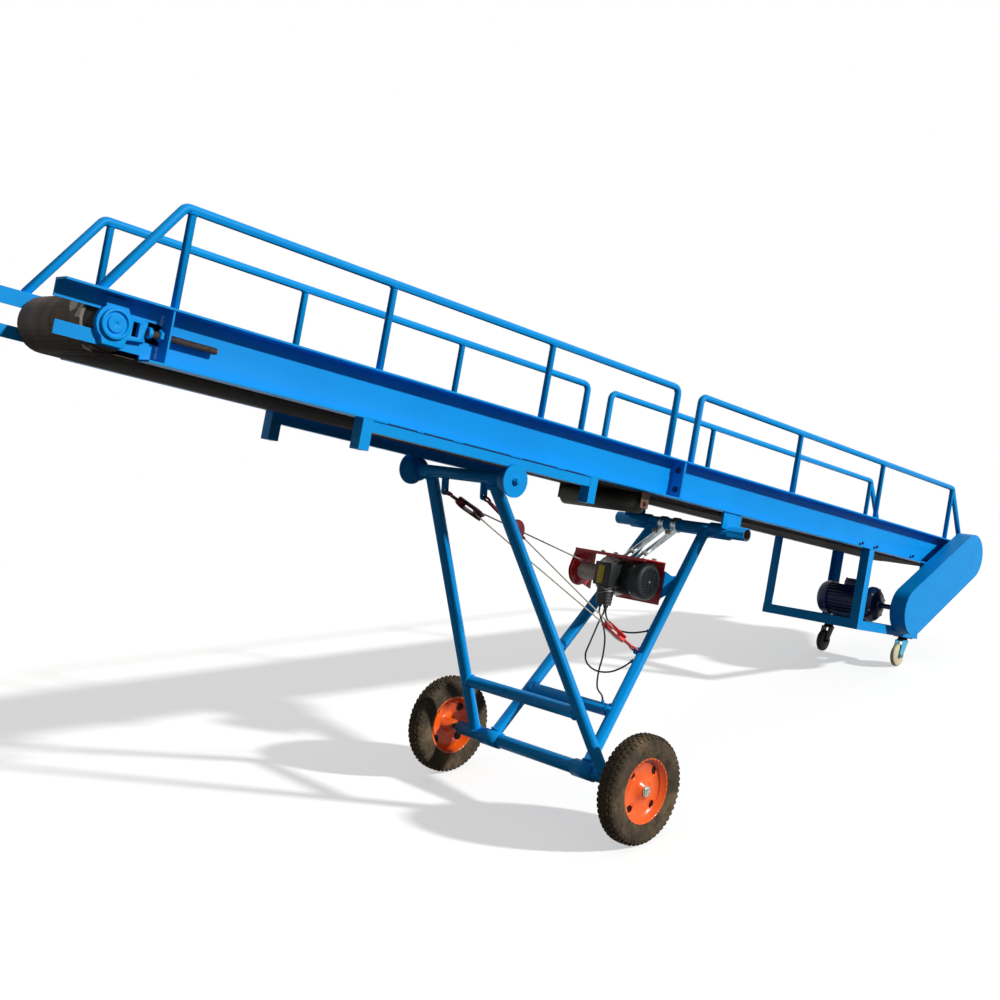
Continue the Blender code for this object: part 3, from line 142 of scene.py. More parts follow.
def mixTones(tree, share, first, second):
    return addNode(tree, "ShaderNodeMix", {"data_type": "RGBA"}, i0=share, i6=first, i7=second).outputs[2]


def blotch(tree, shader, mapping, tone, scale, low, high, detail=6.0):
    # a third tone laid over the first two wherever a second noise is high
    base = shader.inputs["Base Color"].links[0].from_socket
    noise = addNode(tree, "ShaderNodeTexNoise", i0=mapping.outputs[0], Scale=scale, Detail=detail,
                    Roughness=0.7)
    reach = addNode(tree, "ShaderNodeMapRange", i0=noise.outputs["Fac"], i1=low, i2=high)
    mixed = mixTones(tree, reach.outputs[0], base, srgb(tone))
    tree.links.new(mixed, shader.inputs["Base Color"])


def grain(tree, shader, mapping, scale, height):
    noise = addNode(tree, "ShaderNodeTexNoise", i0=mapping.outputs[0], Scale=scale, Detail=3.0)
    bump = addNode(tree, "ShaderNodeBump", Distance=height, Strength=1.0, Height=noise.outputs["Fac"])
    tree.links.new(bump.outputs["Normal"], shader.inputs["Normal"])


enamel = {"clouds": 2.6, "gloss": 0.16, "peelScale": 260.0, "peelHeight": 0.0002}


def paintedSteel(name, light, dark, roughness=0.46, patch=enamel["clouds"], coat=0.0, gloss=enamel["gloss"]):
    # sprayed enamel over plate: even colour with faint cloudy patches, a soft gloss and slight orange peel
    material, tree, shader = newMaterial(name, Roughness=roughness, IOR=1.45, Specular_IOR_Level=gloss,
                                         Coat_Weight=coat, Coat_Roughness=0.15)
    mapping = mottle(tree, shader, light, dark, patch)
    grain(tree, shader, mapping, enamel["peelScale"], enamel["peelHeight"])
    return material


def scuffedSteel(name, light, dark, scuff):
    # the same enamel rubbed thin in a few short pale strokes where it gets knocked
    material, tree, shader = newMaterial(name, Roughness=0.44, IOR=1.45, Specular_IOR_Level=enamel["gloss"])
    mapping = mottle(tree, shader, light, dark, enamel["clouds"], stretch=(2.0, 1.0, 6.0))
    blotch(tree, shader, mapping, scuff, scale=4.5, low=0.66, high=0.74, detail=9.0)
    grain(tree, shader, mapping, enamel["peelScale"], enamel["peelHeight"])
    return material


def plainMetal(name, light, dark, roughness, metallic, patch, height=0.0002):
    # bare or plated metal: two close tones and a fine grain that breaks up its reflections
    material, tree, shader = newMaterial(name, Roughness=roughness, Metallic=metallic)
    mapping = mottle(tree, shader, light, dark, patch)
    grain(tree, shader, mapping, patch * 6, height)
    return material


def plainPlastic(name, light, dark, roughness, patch=12.0):
    # moulded plastic or rubber: a low sheen over a fine moulded texture
    material, tree, shader = newMaterial(name, Roughness=roughness, IOR=1.5, Specular_IOR_Level=0.2)
    mapping = mottle(tree, shader, light, dark, patch)
    grain(tree, shader, mapping, patch * 12, 0.0002)
    return material


def tyreMaterial(name):
    # moulded rubber under brown dust, with paler dust caked on it in patches
    material, tree, shader = newMaterial(name, Roughness=0.88, IOR=1.5, Specular_IOR_Level=0.12)
    mapping = mottle(tree, shader, "#5E5243", "#3B332A", 22.0, 6.0, 0.75)
    blotch(tree, shader, mapping, "#8C7858", scale=9.0, low=0.48, high=0.8)
    grain(tree, shader, mapping, 420.0, 0.0006)
    return material


def beltMaterial(name):
    # rubberised canvas: brown grey under dust, dark smears along its way, painted shade on its underside, a fine
    # weave in its bump
    material, tree, shader = newMaterial(name, Roughness=0.85, IOR=1.5, Specular_IOR_Level=0.06)
    mapping = mottle(tree, shader, "#A3958A", "#62574E", 5.0, 6.0, 0.72, (0.6, 2.0, 0.6))
    blotch(tree, shader, mapping, "#3A3633", scale=11.0, low=0.58, high=0.8)
    # painted shade: faces that look down are darkened to near black, standing in for the shadow under the belt;
    # the same factor lays dust only where the belt looks up or out
    normal = addNode(tree, "ShaderNodeNewGeometry").outputs["Normal"]
    lean = addNode(tree, "ShaderNodeSeparateXYZ", i0=normal).outputs[2]
    dusty = addNode(tree, "ShaderNodeMapRange", i0=lean, i1=-0.75, i2=-0.05)
    base = shader.inputs["Base Color"].links[0].from_socket
    paintedShadeAndDust = mixTones(tree, dusty.outputs[0], srgb("#221F1C"), base)
    tree.links.new(paintedShadeAndDust, shader.inputs["Base Color"])
    weave = addNode(tree, "ShaderNodeTexVoronoi", i0=mapping.outputs[0], Scale=420.0)
    bump = addNode(tree, "ShaderNodeBump", Distance=0.0006, Strength=0.8, Height=weave.outputs["Distance"])
    tree.links.new(bump.outputs["Normal"], shader.inputs["Normal"])
    return material


blueEnamel = paintedSteel("azure enamel, sprayed", "#029DEC", "#0294E2")
guardEnamel = scuffedSteel("azure enamel, scuffed", "#029DEC", "#0294E2", "#9CCFE6")
orangeEnamel = paintedSteel("orange enamel, sprayed on pressed steel", "#FF6A1E", "#F85C12",
                            0.28, 9.0, 0.15, 0.3)
redEnamel = paintedSteel("red enamel, sprayed", "#EE3844", "#D02E3C", 0.34, 14.0, 0.1, 0.3)
brightRed = paintedSteel("signal red enamel, sprayed", "#FF3A38", "#F42A2C", 0.28, 14.0, 0.2, 0.4)
salmonRed = paintedSteel("faded red enamel, sprayed", "#FA6462", "#EC4A4C", 0.4, 20.0)
darkRed = paintedSteel("dark red enamel under grease", "#96303A", "#3A1A1E", 0.4, 30.0)
navyEnamel = paintedSteel("navy machine enamel", "#10305E", "#0B2146", 0.34, 14.0, 0.0, 0.3)
# painted highlight: near-white beads stand in for the sun's glint on the take-up welds
weldGlint = paintedSteel("painted highlight on weld beads", "#D2F0FC", "#6FC4F2", 0.3, 90.0)
# painted shadow: dark navy standing in for the shade in the gap between a beam's flange and its roller track
trackGapShadow = plainPlastic("painted shadow line in the track gap", "#0B2C6E", "#08225A", 0.7)
blackPaint = paintedSteel("black enamel under dust", "#1B1A18", "#100F0E", 0.5, 9.0)
tyreRubber = tyreMaterial("dusty tyre rubber, moulded")
beltRubber = beltMaterial("fabric-core conveyor belting, worn")
beltPatch = plainPlastic("pale glue on belting", "#E4DECE", "#BDB6A6", 0.8, 30.0)
beltSmear = plainPlastic("black rubber repair on belting", "#24262B", "#15171B", 0.7, 30.0)
blackPlastic = plainPlastic("black ABS, moulded", "#25292B", "#17191A", 0.45)
motorBlack = plainPlastic("black motor enamel, dusty", "#4A4C49", "#2C2E2D", 0.55, 18.0)
slatGrey = plainPlastic("dark grey fan grille", "#2E3438", "#1C2226", 0.5)
# painted shade: near black, for discs that stand in for the shadow inside hollows
hollowShadePaint = plainPlastic("painted shade in hollows", "#0E1011", "#070808", 0.8)
blackNylon = plainPlastic("black nylon, moulded", "#33332A", "#1E1E19", 0.6)
cableSheath = plainPlastic("black PVC cable sheath", "#26292C", "#1B1D20", 0.45, 20.0)
whiteNylon = plainPlastic("white nylon tie", "#E4E6E2", "#CDD0CC", 0.5)
ochrePlate = plainPlastic("blank ochre plate", "#FFDF4C", "#E6BE38", 0.5, 60.0)
creamNylon = plainPlastic("cream nylon, moulded", "#EADFBE", "#D9CBA3", 0.45, 25.0)
castAlloy = plainMetal("cast aluminium, as cast", "#E6E4DC", "#A6A49C", 0.55, 0.35, 60.0, 0.0012)
zincPlate = plainMetal("zinc plated steel", "#C4CCD0", "#8F9CA2", 0.36, 0.9, 50.0)
blueZinc = plainMetal("blue passivated zinc", "#5CC4E0", "#2FA6CC", 0.34, 0.6, 30.0)
steelNut = plainMetal("bright steel", "#C8C2B4", "#7E7768", 0.38, 0.85, 90.0)
rustySteel = plainMetal("bare steel with surface rust", "#8A6450", "#56402F", 0.7, 0.15, 45.0, 0.0006)
threadSteel = plainMetal("greased steel thread", "#7A6A62", "#43342E", 0.5, 0.6, 60.0)
drumLagging = plainMetal("rubber-lagged drum, rubbed dark", "#2C2622", "#16120F", 0.7, 0.0, 30.0)
ropeWire = plainMetal("galvanised wire rope", "#C6BFB0", "#8C8576", 0.55, 0.3, 160.0, 0.0004)
print("materials made")


# Mesh helpers: a piece is made in the conveyor's own frame and put in its place once, in its mesh.


def dress(mesh, name, material, body, replaced, smooth):
    mesh.name = name
    mesh.shade_smooth()
    mesh.set_sharp_from_angle(angle=radians(smooth))
    mesh.materials.clear()
    mesh.materials.append(material)
    piece = newObject(name, mesh)
    if body:
        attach(piece, body)
    if replaced:
        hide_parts(*replaced)
    return piece


def meshFrom(work, name):
    mesh = bpy.data.meshes.new(name)
    work.to_mesh(mesh)
    work.free()
    return mesh


def finishWork(work, name, material, body, replaced=(), smooth=35):
    bmesh.ops.recalc_face_normals(work, faces=work.faces)
    bmesh.ops.transform(work, matrix=toWorld, verts=work.verts)
    return dress(meshFrom(work, name), name, material, body, replaced, smooth)


def axes(origin, along, side=(0, 0, 1)):
    # a frame at origin whose z runs along, for pieces turned round a line
    z = Vector(along).normalized()
    x = Vector(side) - z * z.dot(Vector(side))
    x = (Vector((1, 0, 0)) if x.length < 0.001 else x).normalized()
    return Matrix.Translation(origin) @ Matrix((x, z.cross(x), z)).transposed().to_4x4()


def turned(work, profile, seat, sides):
    # rings of (radius, height) round the seat's z, closed where the radius is 0 or the profile's ends meet
    rings = []
    for radius, height in profile:
        if radius < 1e-6:
            rings.append([work.verts.new(seat @ Vector((0, 0, height)))])
            continue
        ring = []
        for step in range(sides):
            angle = 2 * pi * step / sides
            ring.append(work.verts.new(seat @ Vector((radius * cos(angle), radius * sin(angle), height))))
        rings.append(ring)
    for low, high in zip(rings, rings[1:]):
        for step in range(sides):
            after = (step + 1) % sides
            spots = ((low, step), (low, after), (high, after), (high, step))
            corners = list(dict.fromkeys(ring[at % len(ring)] for ring, at in spots))
            if len(corners) > 2:
                work.faces.new(corners)
    if profile[0] == profile[-1]:
        bmesh.ops.remove_doubles(work, verts=[vert for ring in rings for vert in ring], dist=0.00001)


def turnedPiece(name, profile, seat, sides, material, body, replaced=(), smooth=35):
    work = bmesh.new()
    turned(work, profile, seat, sides)
    return finishWork(work, name, material, body, replaced, smooth)


def block(work, u, v, w, bevel=0.0):
    made = bmesh.ops.create_cube(work, size=1.0)["verts"]
    size = [abs(pair[1] - pair[0]) for pair in (u, v, w)]
    centre = Vector([(pair[1] + pair[0]) / 2 for pair in (u, v, w)])
    bmesh.ops.scale(work, vec=size, verts=made)
    bmesh.ops.translate(work, vec=centre, verts=made)
    if bevel:
        edges = list(dict.fromkeys(edge for vert in made for edge in vert.link_edges))
        bmesh.ops.bevel(work, geom=edges, offset=bevel, segments=2, affect="EDGES", profile=0.5)


def slab(work, outline, low, high, seat=Matrix()):
    # a flat outline in the seat's x and y, thick from low to high along its z
    face = work.faces.new([work.verts.new(seat @ Vector((x, y, low))) for x, y in outline])
    made = bmesh.ops.extrude_face_region(work, geom=[face])["geom"]
    top = [item for item in made if isinstance(item, bmesh.types.BMVert)]
    bmesh.ops.translate(work, vec=seat.to_3x3() @ Vector((0, 0, high - low)), verts=top)


def span(middle, half):
    return (middle - half, middle + half)


def spoke(angle):
    # a unit vector at an angle from u towards w
    return Vector((cos(angle), 0, sin(angle)))


def ringSpot(u, v, w, radius, angle):
    return (u + radius * cos(angle), v, w + radius * sin(angle))


def acrossSeat(size):
    return axes(Vector((size["u"], 0, size["w"])), (0, 1, 0))


sides = {"near": -1, "far": 1}


def both(*names):
    return [name + "_" + label for name in names for label in sides]


def knot(start, end):
    return (end - start).length ** 0.5


def smoothRoute(points, spacing):
    # a smooth curve through the points, as the part's own cords follow it
    points = [Vector(point) for point in points]
    chain = [points[0] * 2 - points[1], *points, points[-1] * 2 - points[-2]]
    route = [points[0]]
    for a, b, c, d in zip(chain, chain[1:], chain[2:], chain[3:]):
        steps = max(1, round((c - b).length / spacing))
        first, middle, last = knot(a, b), knot(b, c), knot(c, d)
        enter = ((b - a) / first - (c - a) / (first + middle) + (c - b) / middle) * middle
        leave = ((c - b) / middle - (d - b) / (middle + last) + (d - c) / last) * middle
        for step in range(1, steps + 1):
            t = step / steps
            route.append(
                b * (2 * t**3 - 3 * t**2 + 1)
                + enter * (t**3 - 2 * t**2 + t)
                + c * (3 * t**2 - 2 * t**3)
                + leave * (t**3 - t**2)
            )
    return route


def newGroup(name, sockets):
    group = bpy.data.node_groups.new(name, "GeometryNodeTree")
    for label, kind in sockets:
        group.interface.new_socket(label, in_out="INPUT", socket_type="NodeSocket" + kind)
    group.interface.new_socket("Geometry", in_out="OUTPUT", socket_type="NodeSocketGeometry")
    return group, addNode(group, "NodeGroupInput"), addNode(group, "NodeGroupOutput")


def closeGroup(group, geometry, given, output):
    whole = addNode(group, "GeometryNodeRealizeInstances", i0=geometry)
    coloured = addNode(group, "GeometryNodeSetMaterial", i0=whole.outputs[0],
                       Material=given.outputs["Material"])
    group.links.new(coloured.outputs[0], output.inputs[0])
    return group


def mathNode(tree, operation, *values):
    inputs = {"i" + str(index): value for index, value in enumerate(values)}
    return addNode(tree, "ShaderNodeMath", {"operation": operation}, **inputs).outputs[0]


def pointVector(group, name):
    kind = {"data_type": "FLOAT_VECTOR"}
    return addNode(group, "GeometryNodeInputNamedAttribute", kind, Name=name).outputs["Attribute"]


def makeStandGroup():
    # stands a unit on every point, its z along the point's aim, its size as the point says with some scatter
    group, given, output = newGroup("stand units", [
        ("Places", "Geometry"), ("Unit", "Object"), ("Scatter", "Float"), ("Seed", "Int"),
        ("Material", "Material"),
    ])
    aim, side, size = [pointVector(group, name) for name in ("aim", "side", "size")]
    first = addNode(group, "FunctionNodeAlignRotationToVector", {"axis": "Z"}, Vector=aim)
    turn = addNode(group, "FunctionNodeAlignRotationToVector", {"axis": "X", "pivot_axis": "Z"},
                   Rotation=first.outputs[0], Vector=side)
    low = mathNode(group, "SUBTRACT", 1.0, given.outputs["Scatter"])
    high = mathNode(group, "ADD", 1.0, given.outputs["Scatter"])
    chance = addNode(group, "FunctionNodeRandomValue", {"data_type": "FLOAT"}, i2=low, i3=high,
                     Seed=given.outputs["Seed"])
    scale = addNode(group, "ShaderNodeVectorMath", {"operation": "SCALE"}, i0=size, Scale=chance.outputs[1])
    unit = addNode(group, "GeometryNodeObjectInfo", Object=given.outputs["Unit"])
    stood = addNode(group, "GeometryNodeInstanceOnPoints", Points=given.outputs["Places"],
                    Instance=unit.outputs["Geometry"], Rotation=turn.outputs[0], Scale=scale.outputs[0])
    return closeGroup(group, stood.outputs[0], given, output)


def makeSweepGroup():
    # a tube along a path, its round section cut into strands that twist as they run
    group, given, output = newGroup("sweep tube", [
        ("Path", "Geometry"), ("Radius", "Float"), ("Strands", "Float"), ("Relief", "Float"),
        ("Twist", "Float"), ("Sides", "Int"), ("Material", "Material"),
    ])
    line = addNode(group, "GeometryNodeMeshToCurve", i0=given.outputs["Path"])
    run = addNode(group, "GeometryNodeSplineParameter").outputs["Length"]
    tilted = addNode(group, "GeometryNodeSetCurveTilt", Curve=line.outputs[0],
                     Tilt=mathNode(group, "MULTIPLY", run, given.outputs["Twist"]))
    circle = addNode(group, "GeometryNodeCurvePrimitiveCircle", Resolution=given.outputs["Sides"],
                     Radius=given.outputs["Radius"])
    where = addNode(group, "GeometryNodeInputPosition").outputs[0]
    parts = addNode(group, "ShaderNodeSeparateXYZ", i0=where)
    angle = mathNode(group, "ARCTAN2", parts.outputs[1], parts.outputs[0])
    lobes = mathNode(group, "MULTIPLY", angle, given.outputs["Strands"])
    wave = mathNode(group, "SUBTRACT", mathNode(group, "COSINE", lobes), 1.0)
    depth = mathNode(group, "MULTIPLY", wave, given.outputs["Relief"])
    inward = addNode(group, "ShaderNodeVectorMath", {"operation": "SCALE"}, i0=where, Scale=depth)
    section = addNode(group, "GeometryNodeSetPosition", Geometry=circle.outputs[0], Offset=inward.outputs[0])
    tube = addNode(group, "GeometryNodeCurveToMesh", Curve=tilted.outputs[0], i1=section.outputs[0],
                   Fill_Caps=True)
    return closeGroup(group, tube.outputs[0], given, output)


standGroup = makeStandGroup()
sweepGroup = makeSweepGroup()


def evaluatedMesh(holder):
    # the mesh that the holder's modifier makes of it, with the holder taken away
    graph = bpy.context.evaluated_depsgraph_get()
    made = bpy.data.meshes.new_from_object(holder.evaluated_get(graph))
    bpy.data.objects.remove(holder)
    return made


def runGroup(mesh, group, values):
    holder = newObject("holder", mesh)
    modifier = holder.modifiers.new("nodes", "NODES")
    modifier.node_group = group
    for item in group.interface.items_tree:
        if item.in_out == "INPUT" and item.name in values:
            modifier[item.identifier] = values[item.name]
    return evaluatedMesh(holder)


def unitObject(work, name):
    bmesh.ops.recalc_face_normals(work, faces=work.faces)
    return newObject(name, meshFrom(work, name))


def stand(name, unit, places, material, body, scatter=0.0, seed=1, smooth=35):
    # each place is (point, aim, side, size) in the conveyor's frame
    mesh = bpy.data.meshes.new(name)
    mesh.from_pydata([toWorld @ Vector(item[0]) for item in places], [], [])
    turn = toWorld.to_3x3()
    for label, column in (("aim", 1), ("side", 2)):
        attribute = mesh.attributes.new(label, "FLOAT_VECTOR", "POINT")
        for slot, item in zip(attribute.data, places):
            slot.vector = turn @ Vector(item[column])
    attribute = mesh.attributes.new("size", "FLOAT_VECTOR", "POINT")
    for slot, item in zip(attribute.data, places):
        slot.vector = item[3] if hasattr(item[3], "__len__") else (item[3],) * 3
    values = {"Unit": unit, "Scatter": scatter, "Seed": seed, "Material": material}
    return dress(runGroup(mesh, standGroup, values), name, material, body, (), smooth)


def sweep(name, route, radius, material, body, strands=0, relief=0.0, twist=0.0, sides=12, replaced=()):
    mesh = bpy.data.meshes.new(name)
    links = [(index, index + 1) for index in range(len(route) - 1)]
    mesh.from_pydata([toWorld @ Vector(point) for point in route], links, [])
    values = {"Radius": radius, "Strands": float(strands), "Relief": relief, "Twist": twist, "Sides": sides,
              "Material": material}
    return dress(runGroup(mesh, sweepGroup, values), name, material, body, replaced, 50)


# Cords: the hoist's rope and three cables, along the routes that the part gives them.

ropeSize = {
    "radius": 0.0035, "spacing": 0.12, "step": 0.0024, "strandPitch": 0.028, "strands": 6, "relief": 0.10,
    "sides": 24,
}
ropePoints = [
    (2.6058, 0.25, -0.5094), (1.6843, 0.0975, -0.3803), (1.6742, 0.0937, -0.38), (1.6662, 0.087, -0.3823),
    (1.6616, 0.0784, -0.387), (1.6614, 0.0695, -0.3931), (1.6655, 0.062, -0.3997),
    (1.6733, 0.0572, -0.4054), (2.3269, -0.1432, -0.7551), (2.3359, -0.1494, -0.7606),
    (2.341, -0.1598, -0.7647), (2.3409, -0.1719, -0.7664), (2.3357, -0.183, -0.7654),
    (2.3266, -0.1904, -0.7619), (2.3158, -0.1924, -0.7566), (1.7477, -0.1449, -0.4595),
]
cableSize = {"radius": 0.004, "spacing": 0.020, "step": 0.008, "axis": 2.600, "top": -0.6923}
cablePoints = {
    "cable_loop": [
        (-0.128, -0.004, 0.0), (-0.129, -0.004, -0.022), (-0.146, -0.002, -0.060), (-0.168, -0.008, -0.100),
        (-0.204, -0.020, -0.159), (-0.238, -0.035, -0.213), (-0.244, -0.060, -0.248),
        (-0.220, -0.095, -0.270), (-0.175, -0.135, -0.265), (-0.138, -0.170, -0.236),
        (-0.116, -0.191, -0.208),
    ],
    "cable_drop": [
        (-0.101, 0.048, 0.0), (-0.100, 0.048, -0.022), (-0.080, 0.040, -0.060), (-0.060, 0.024, -0.125),
        (-0.078, 0.000, -0.208), (-0.130, -0.035, -0.283), (-0.175, -0.080, -0.343), (-0.228, -0.160, -0.368),
        (-0.243, -0.180, -0.383),
    ],
    "cable_link": [
        (-0.094, 0.016, 0.0), (-0.093, 0.016, -0.020), (-0.083, 0.000, -0.058), (-0.068, -0.048, -0.086),
        (-0.053, -0.105, -0.088), (-0.042, -0.150, -0.078), (-0.029, -0.182, -0.066),
    ],
}


def denser(route, spacing):
    out = [route[0]]
    for a, b in zip(route, route[1:]):
        steps = max(1, round((b - a).length / spacing))
        out += [a.lerp(b, step / steps) for step in range(1, steps + 1)]
    return out


def makeRope(size):
    route = denser(smoothRoute(ropePoints, size["spacing"]), size["step"])
    rope = sweep("hoist_rope_strands", route, size["radius"], ropeWire, None, size["strands"],
                 size["relief"], 2 * pi / size["strandPitch"], size["sides"], ("hoist_rope",))
    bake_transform(rope)


def makeCable(name, size):
    hung = [(size["axis"] + u, v, size["top"] + w) for u, v, w in cablePoints[name]]
    route = denser(smoothRoute(hung, size["spacing"]), size["step"])
    cable = sweep(name + "_sheath", route, size["radius"], cableSheath, "rear_legs", replaced=(name,))


makeRope(ropeSize)
for name in cablePoints:
    makeCable(name, cableSize)
print("cords laid")


# Floor, world and lamp

studio = {
    "floorRadius": 60.0,
    "fadeStart": 3.4,
    "fadeEnd": 7.0,
    "floorTone": "#F6F6F4",
    "floorGlow": 0.50,
    "bounceTone": "#2E2E2E",
    "sunDirection": (-0.40, 0.88, -0.43),
    "sunStrength": 3.1,
    "sunSize": 2.5,
    "worldStrength": 0.19,
}


def seenRay(tree):
    path = addNode(tree, "ShaderNodeLightPath").outputs
    direct = mathNode(tree, "MAXIMUM", path["Is Camera Ray"], path["Is Glossy Ray"])
    return mathNode(tree, "MAXIMUM", direct, path["Is Transmission Ray"])


def makeStudio(values):
    world = bpy.data.worlds.new("studio")
    world.use_nodes = True
    scene.world = world
    tree = world.node_tree
    tree.nodes.clear()
    fill = addNode(tree, "ShaderNodeBackground", Color=(1, 1, 1, 1), Strength=values["worldStrength"])
    white = addNode(tree, "ShaderNodeBackground", Color=(1, 1, 1, 1), Strength=1.0)
    mix = addNode(tree, "ShaderNodeMixShader", i0=seenRay(tree), i1=fill.outputs[0], i2=white.outputs[0])
    addNode(tree, "ShaderNodeOutputWorld", i0=mix.outputs[0])

    material = bpy.data.materials.new("studio floor")
    material.use_nodes = True
    tree = material.node_tree
    tree.nodes.clear()
    coords = addNode(tree, "ShaderNodeTexCoord")
    distance = addNode(tree, "ShaderNodeVectorMath", {"operation": "LENGTH"}, i0=coords.outputs["Object"])
    fade = addNode(tree, "ShaderNodeMapRange", {"interpolation_type": "SMOOTHSTEP"},
                   i0=distance.outputs["Value"], From_Min=values["fadeStart"], From_Max=values["fadeEnd"])
    # bounced light meets a darker floor, so the machine's underside keeps its depth
    bounce = addNode(tree, "ShaderNodeBsdfDiffuse", Color=srgb(values["bounceTone"]))
    matt = addNode(tree, "ShaderNodeBsdfDiffuse", Color=srgb(values["floorTone"]))
    lift = addNode(tree, "ShaderNodeEmission", Color=(1, 1, 1, 1), Strength=values["floorGlow"])
    lit = addNode(tree, "ShaderNodeAddShader", i0=matt.outputs[0], i1=lift.outputs[0])
    white = addNode(tree, "ShaderNodeEmission", Color=(1, 1, 1, 1), Strength=1.0)
    seen = addNode(tree, "ShaderNodeMixShader", i0=fade.outputs["Result"], i1=lit.outputs[0],
                   i2=white.outputs[0])
    mix = addNode(tree, "ShaderNodeMixShader", i0=seenRay(tree), i1=bounce.outputs[0], i2=seen.outputs[0])
    addNode(tree, "ShaderNodeOutputMaterial", i0=mix.outputs[0])

    work = bmesh.new()
    bmesh.ops.create_circle(work, cap_ends=True, segments=96, radius=values["floorRadius"])
    mesh = meshFrom(work, "floor")
    mesh.materials.append(material)
    floor = newObject("floor", mesh)

    lamp = bpy.data.lights.new("sun", "SUN")
    lamp.energy = values["sunStrength"]
    lamp.angle = radians(values["sunSize"])
    sun = newObject("sun", lamp)
    sun.rotation_euler = Vector(values["sunDirection"]).to_track_quat("-Z", "Y").to_euler()


makeStudio(studio)
print("studio lit")


# CAD pieces that keep their shape get a merged, smooth copy, plate work with eased edges.

smoothCopies = {
    blueEnamel: [
        *both("beam_upper", "beam_lower", "rail_upper", "rail_lower"), "slider_bed",
        *both("takeup_housing", "drive_bearing", "roller_track", "pivot_bracket"), "rear_leg_frame",
        "front_leg_frame", *both("guide_roller"), "drive_frame",
    ],
    guardEnamel: ["belt_guard"],
    beltRubber: ["belt"],
    drumLagging: ["tail_drum", "drive_drum"],
    rustySteel: both("idler_bracket"),
    blackNylon: ["return_idler", "caster_wheel_far"],
    blackPaint: [*both("caster_plate"), "caster_fork_far"],
    darkRed: ["rope_block_front", "rope_anchor"],
    orangeEnamel: both("rim"),
    blueZinc: ["caster_fork_near"],
    zincPlate: both("hoist_hanger"),
    creamNylon: ["caster_wheel_near"],
    redEnamel: ["hoist_frame"],
    salmonRed: ["rope_block_rear"],
    castAlloy: ["hoist_gearbox"],
}
easedEdges = {
    **dict.fromkeys([*both("beam_upper", "beam_lower"), "drive_frame"], 0.0016),
    **dict.fromkeys(both("roller_track", "takeup_housing"), 0.0014),
    "belt_guard": 0.0012,
    "hoist_frame": 0.0010,
}
copies = {"merge": 0.00002, "flat": 1, "easeFrom": 40, "sharp": 35, "sharpEased": 20, "beltSpread": 1.085}


def easeEdges(mesh, width):
    holder = newObject("holder", mesh)
    bevel = holder.modifiers.new("edges", "BEVEL")
    bevel.width = width
    bevel.segments = 2
    bevel.limit_method = "ANGLE"
    bevel.angle_limit = radians(copies["easeFrom"])
    return evaluatedMesh(holder)


def smoothCopy(name, material, size):
    work = bmesh.new()
    work.from_mesh(nodes[name].data)
    bmesh.ops.remove_doubles(work, verts=work.verts, dist=size["merge"])
    if name == "belt":
        # the belt nearly fills the way between the beams
        bmesh.ops.scale(work, vec=(1, size["beltSpread"], 1), verts=work.verts)
    eased = name in easedEdges
    if eased:
        flat = radians(size["flat"])
        bmesh.ops.dissolve_limit(work, angle_limit=flat, verts=work.verts, edges=work.edges)
    mesh = meshFrom(work, name + "_smooth")
    if eased:
        mesh = easeEdges(mesh, easedEdges[name])
    smooth = size["sharpEased" if eased else "sharp"]
    return dress(mesh, name + "_smooth", material, bodyOf[name], (name,), smooth)


for material, names in smoothCopies.items():
    for name in names:
        smoothCopy(name, material, copies)
print("smooth copies made")


# Small units that are stood many times

fastener = {
    "washer": [(0, 0), (0.0125, 0), (0.0125, 0.0016), (0.011875, 0.002), (0.009996, 0.002), (0, 0.002)],
    "head": [(0, 0.002), (0.0098, 0.002), (0.0098, 0.0078), (0.008428, 0.0088), (0, 0.0088)],
    "tip": [(0, 0.0088), (0.00441, 0.0088), (0.00392, 0.0100), (0, 0.0100)],
}


def makeBoltUnit(size):
    work = bmesh.new()
    for name, count in (("washer", 20), ("head", 6), ("tip", 10)):
        turned(work, size[name], Matrix(), count)
    return unitObject(work, "bolt_unit")


def makeBeadUnit():
    # one ripple of a weld seam, a millimetre in radius, which each seam sizes to its own bead
    work = bmesh.new()
    bmesh.ops.create_uvsphere(work, u_segments=8, v_segments=6, radius=0.001)
    return unitObject(work, "bead_unit")


boltUnit = makeBoltUnit(fastener)
beadUnit = makeBeadUnit()
beads = {"ringStep": 0.62, "lineStep": 0.5, "along": 700, "across": 1000, "high": 800}


def beadShape(bead):
    return (bead * beads["along"], bead * beads["across"], bead * beads["high"])


def ringPlaces(centre, axis, radius, bead):
    # beads round a circle, each flattened along the ring's axis
    turn = axes(Vector(centre), axis, (0.3, 0.5, 0.8)).to_3x3()
    count = max(8, round(2 * pi * radius / (bead * 2 * beads["ringStep"])))
    out = []
    for index in range(count):
        angle = 2 * pi * index / count
        outward = turn @ Vector((cos(angle), sin(angle), 0))
        around = turn @ Vector((-sin(angle), cos(angle), 0))
        out.append((Vector(centre) + outward * radius, axis, around, beadShape(bead)))
    return out


def linePlaces(start, end, bead, aim):
    start = Vector(start)
    run = Vector(end) - start
    count = max(2, round(run.length / (bead * 2 * beads["lineStep"])))
    return [(start + run * (index / (count - 1)), aim, run, beadShape(bead)) for index in range(count)]
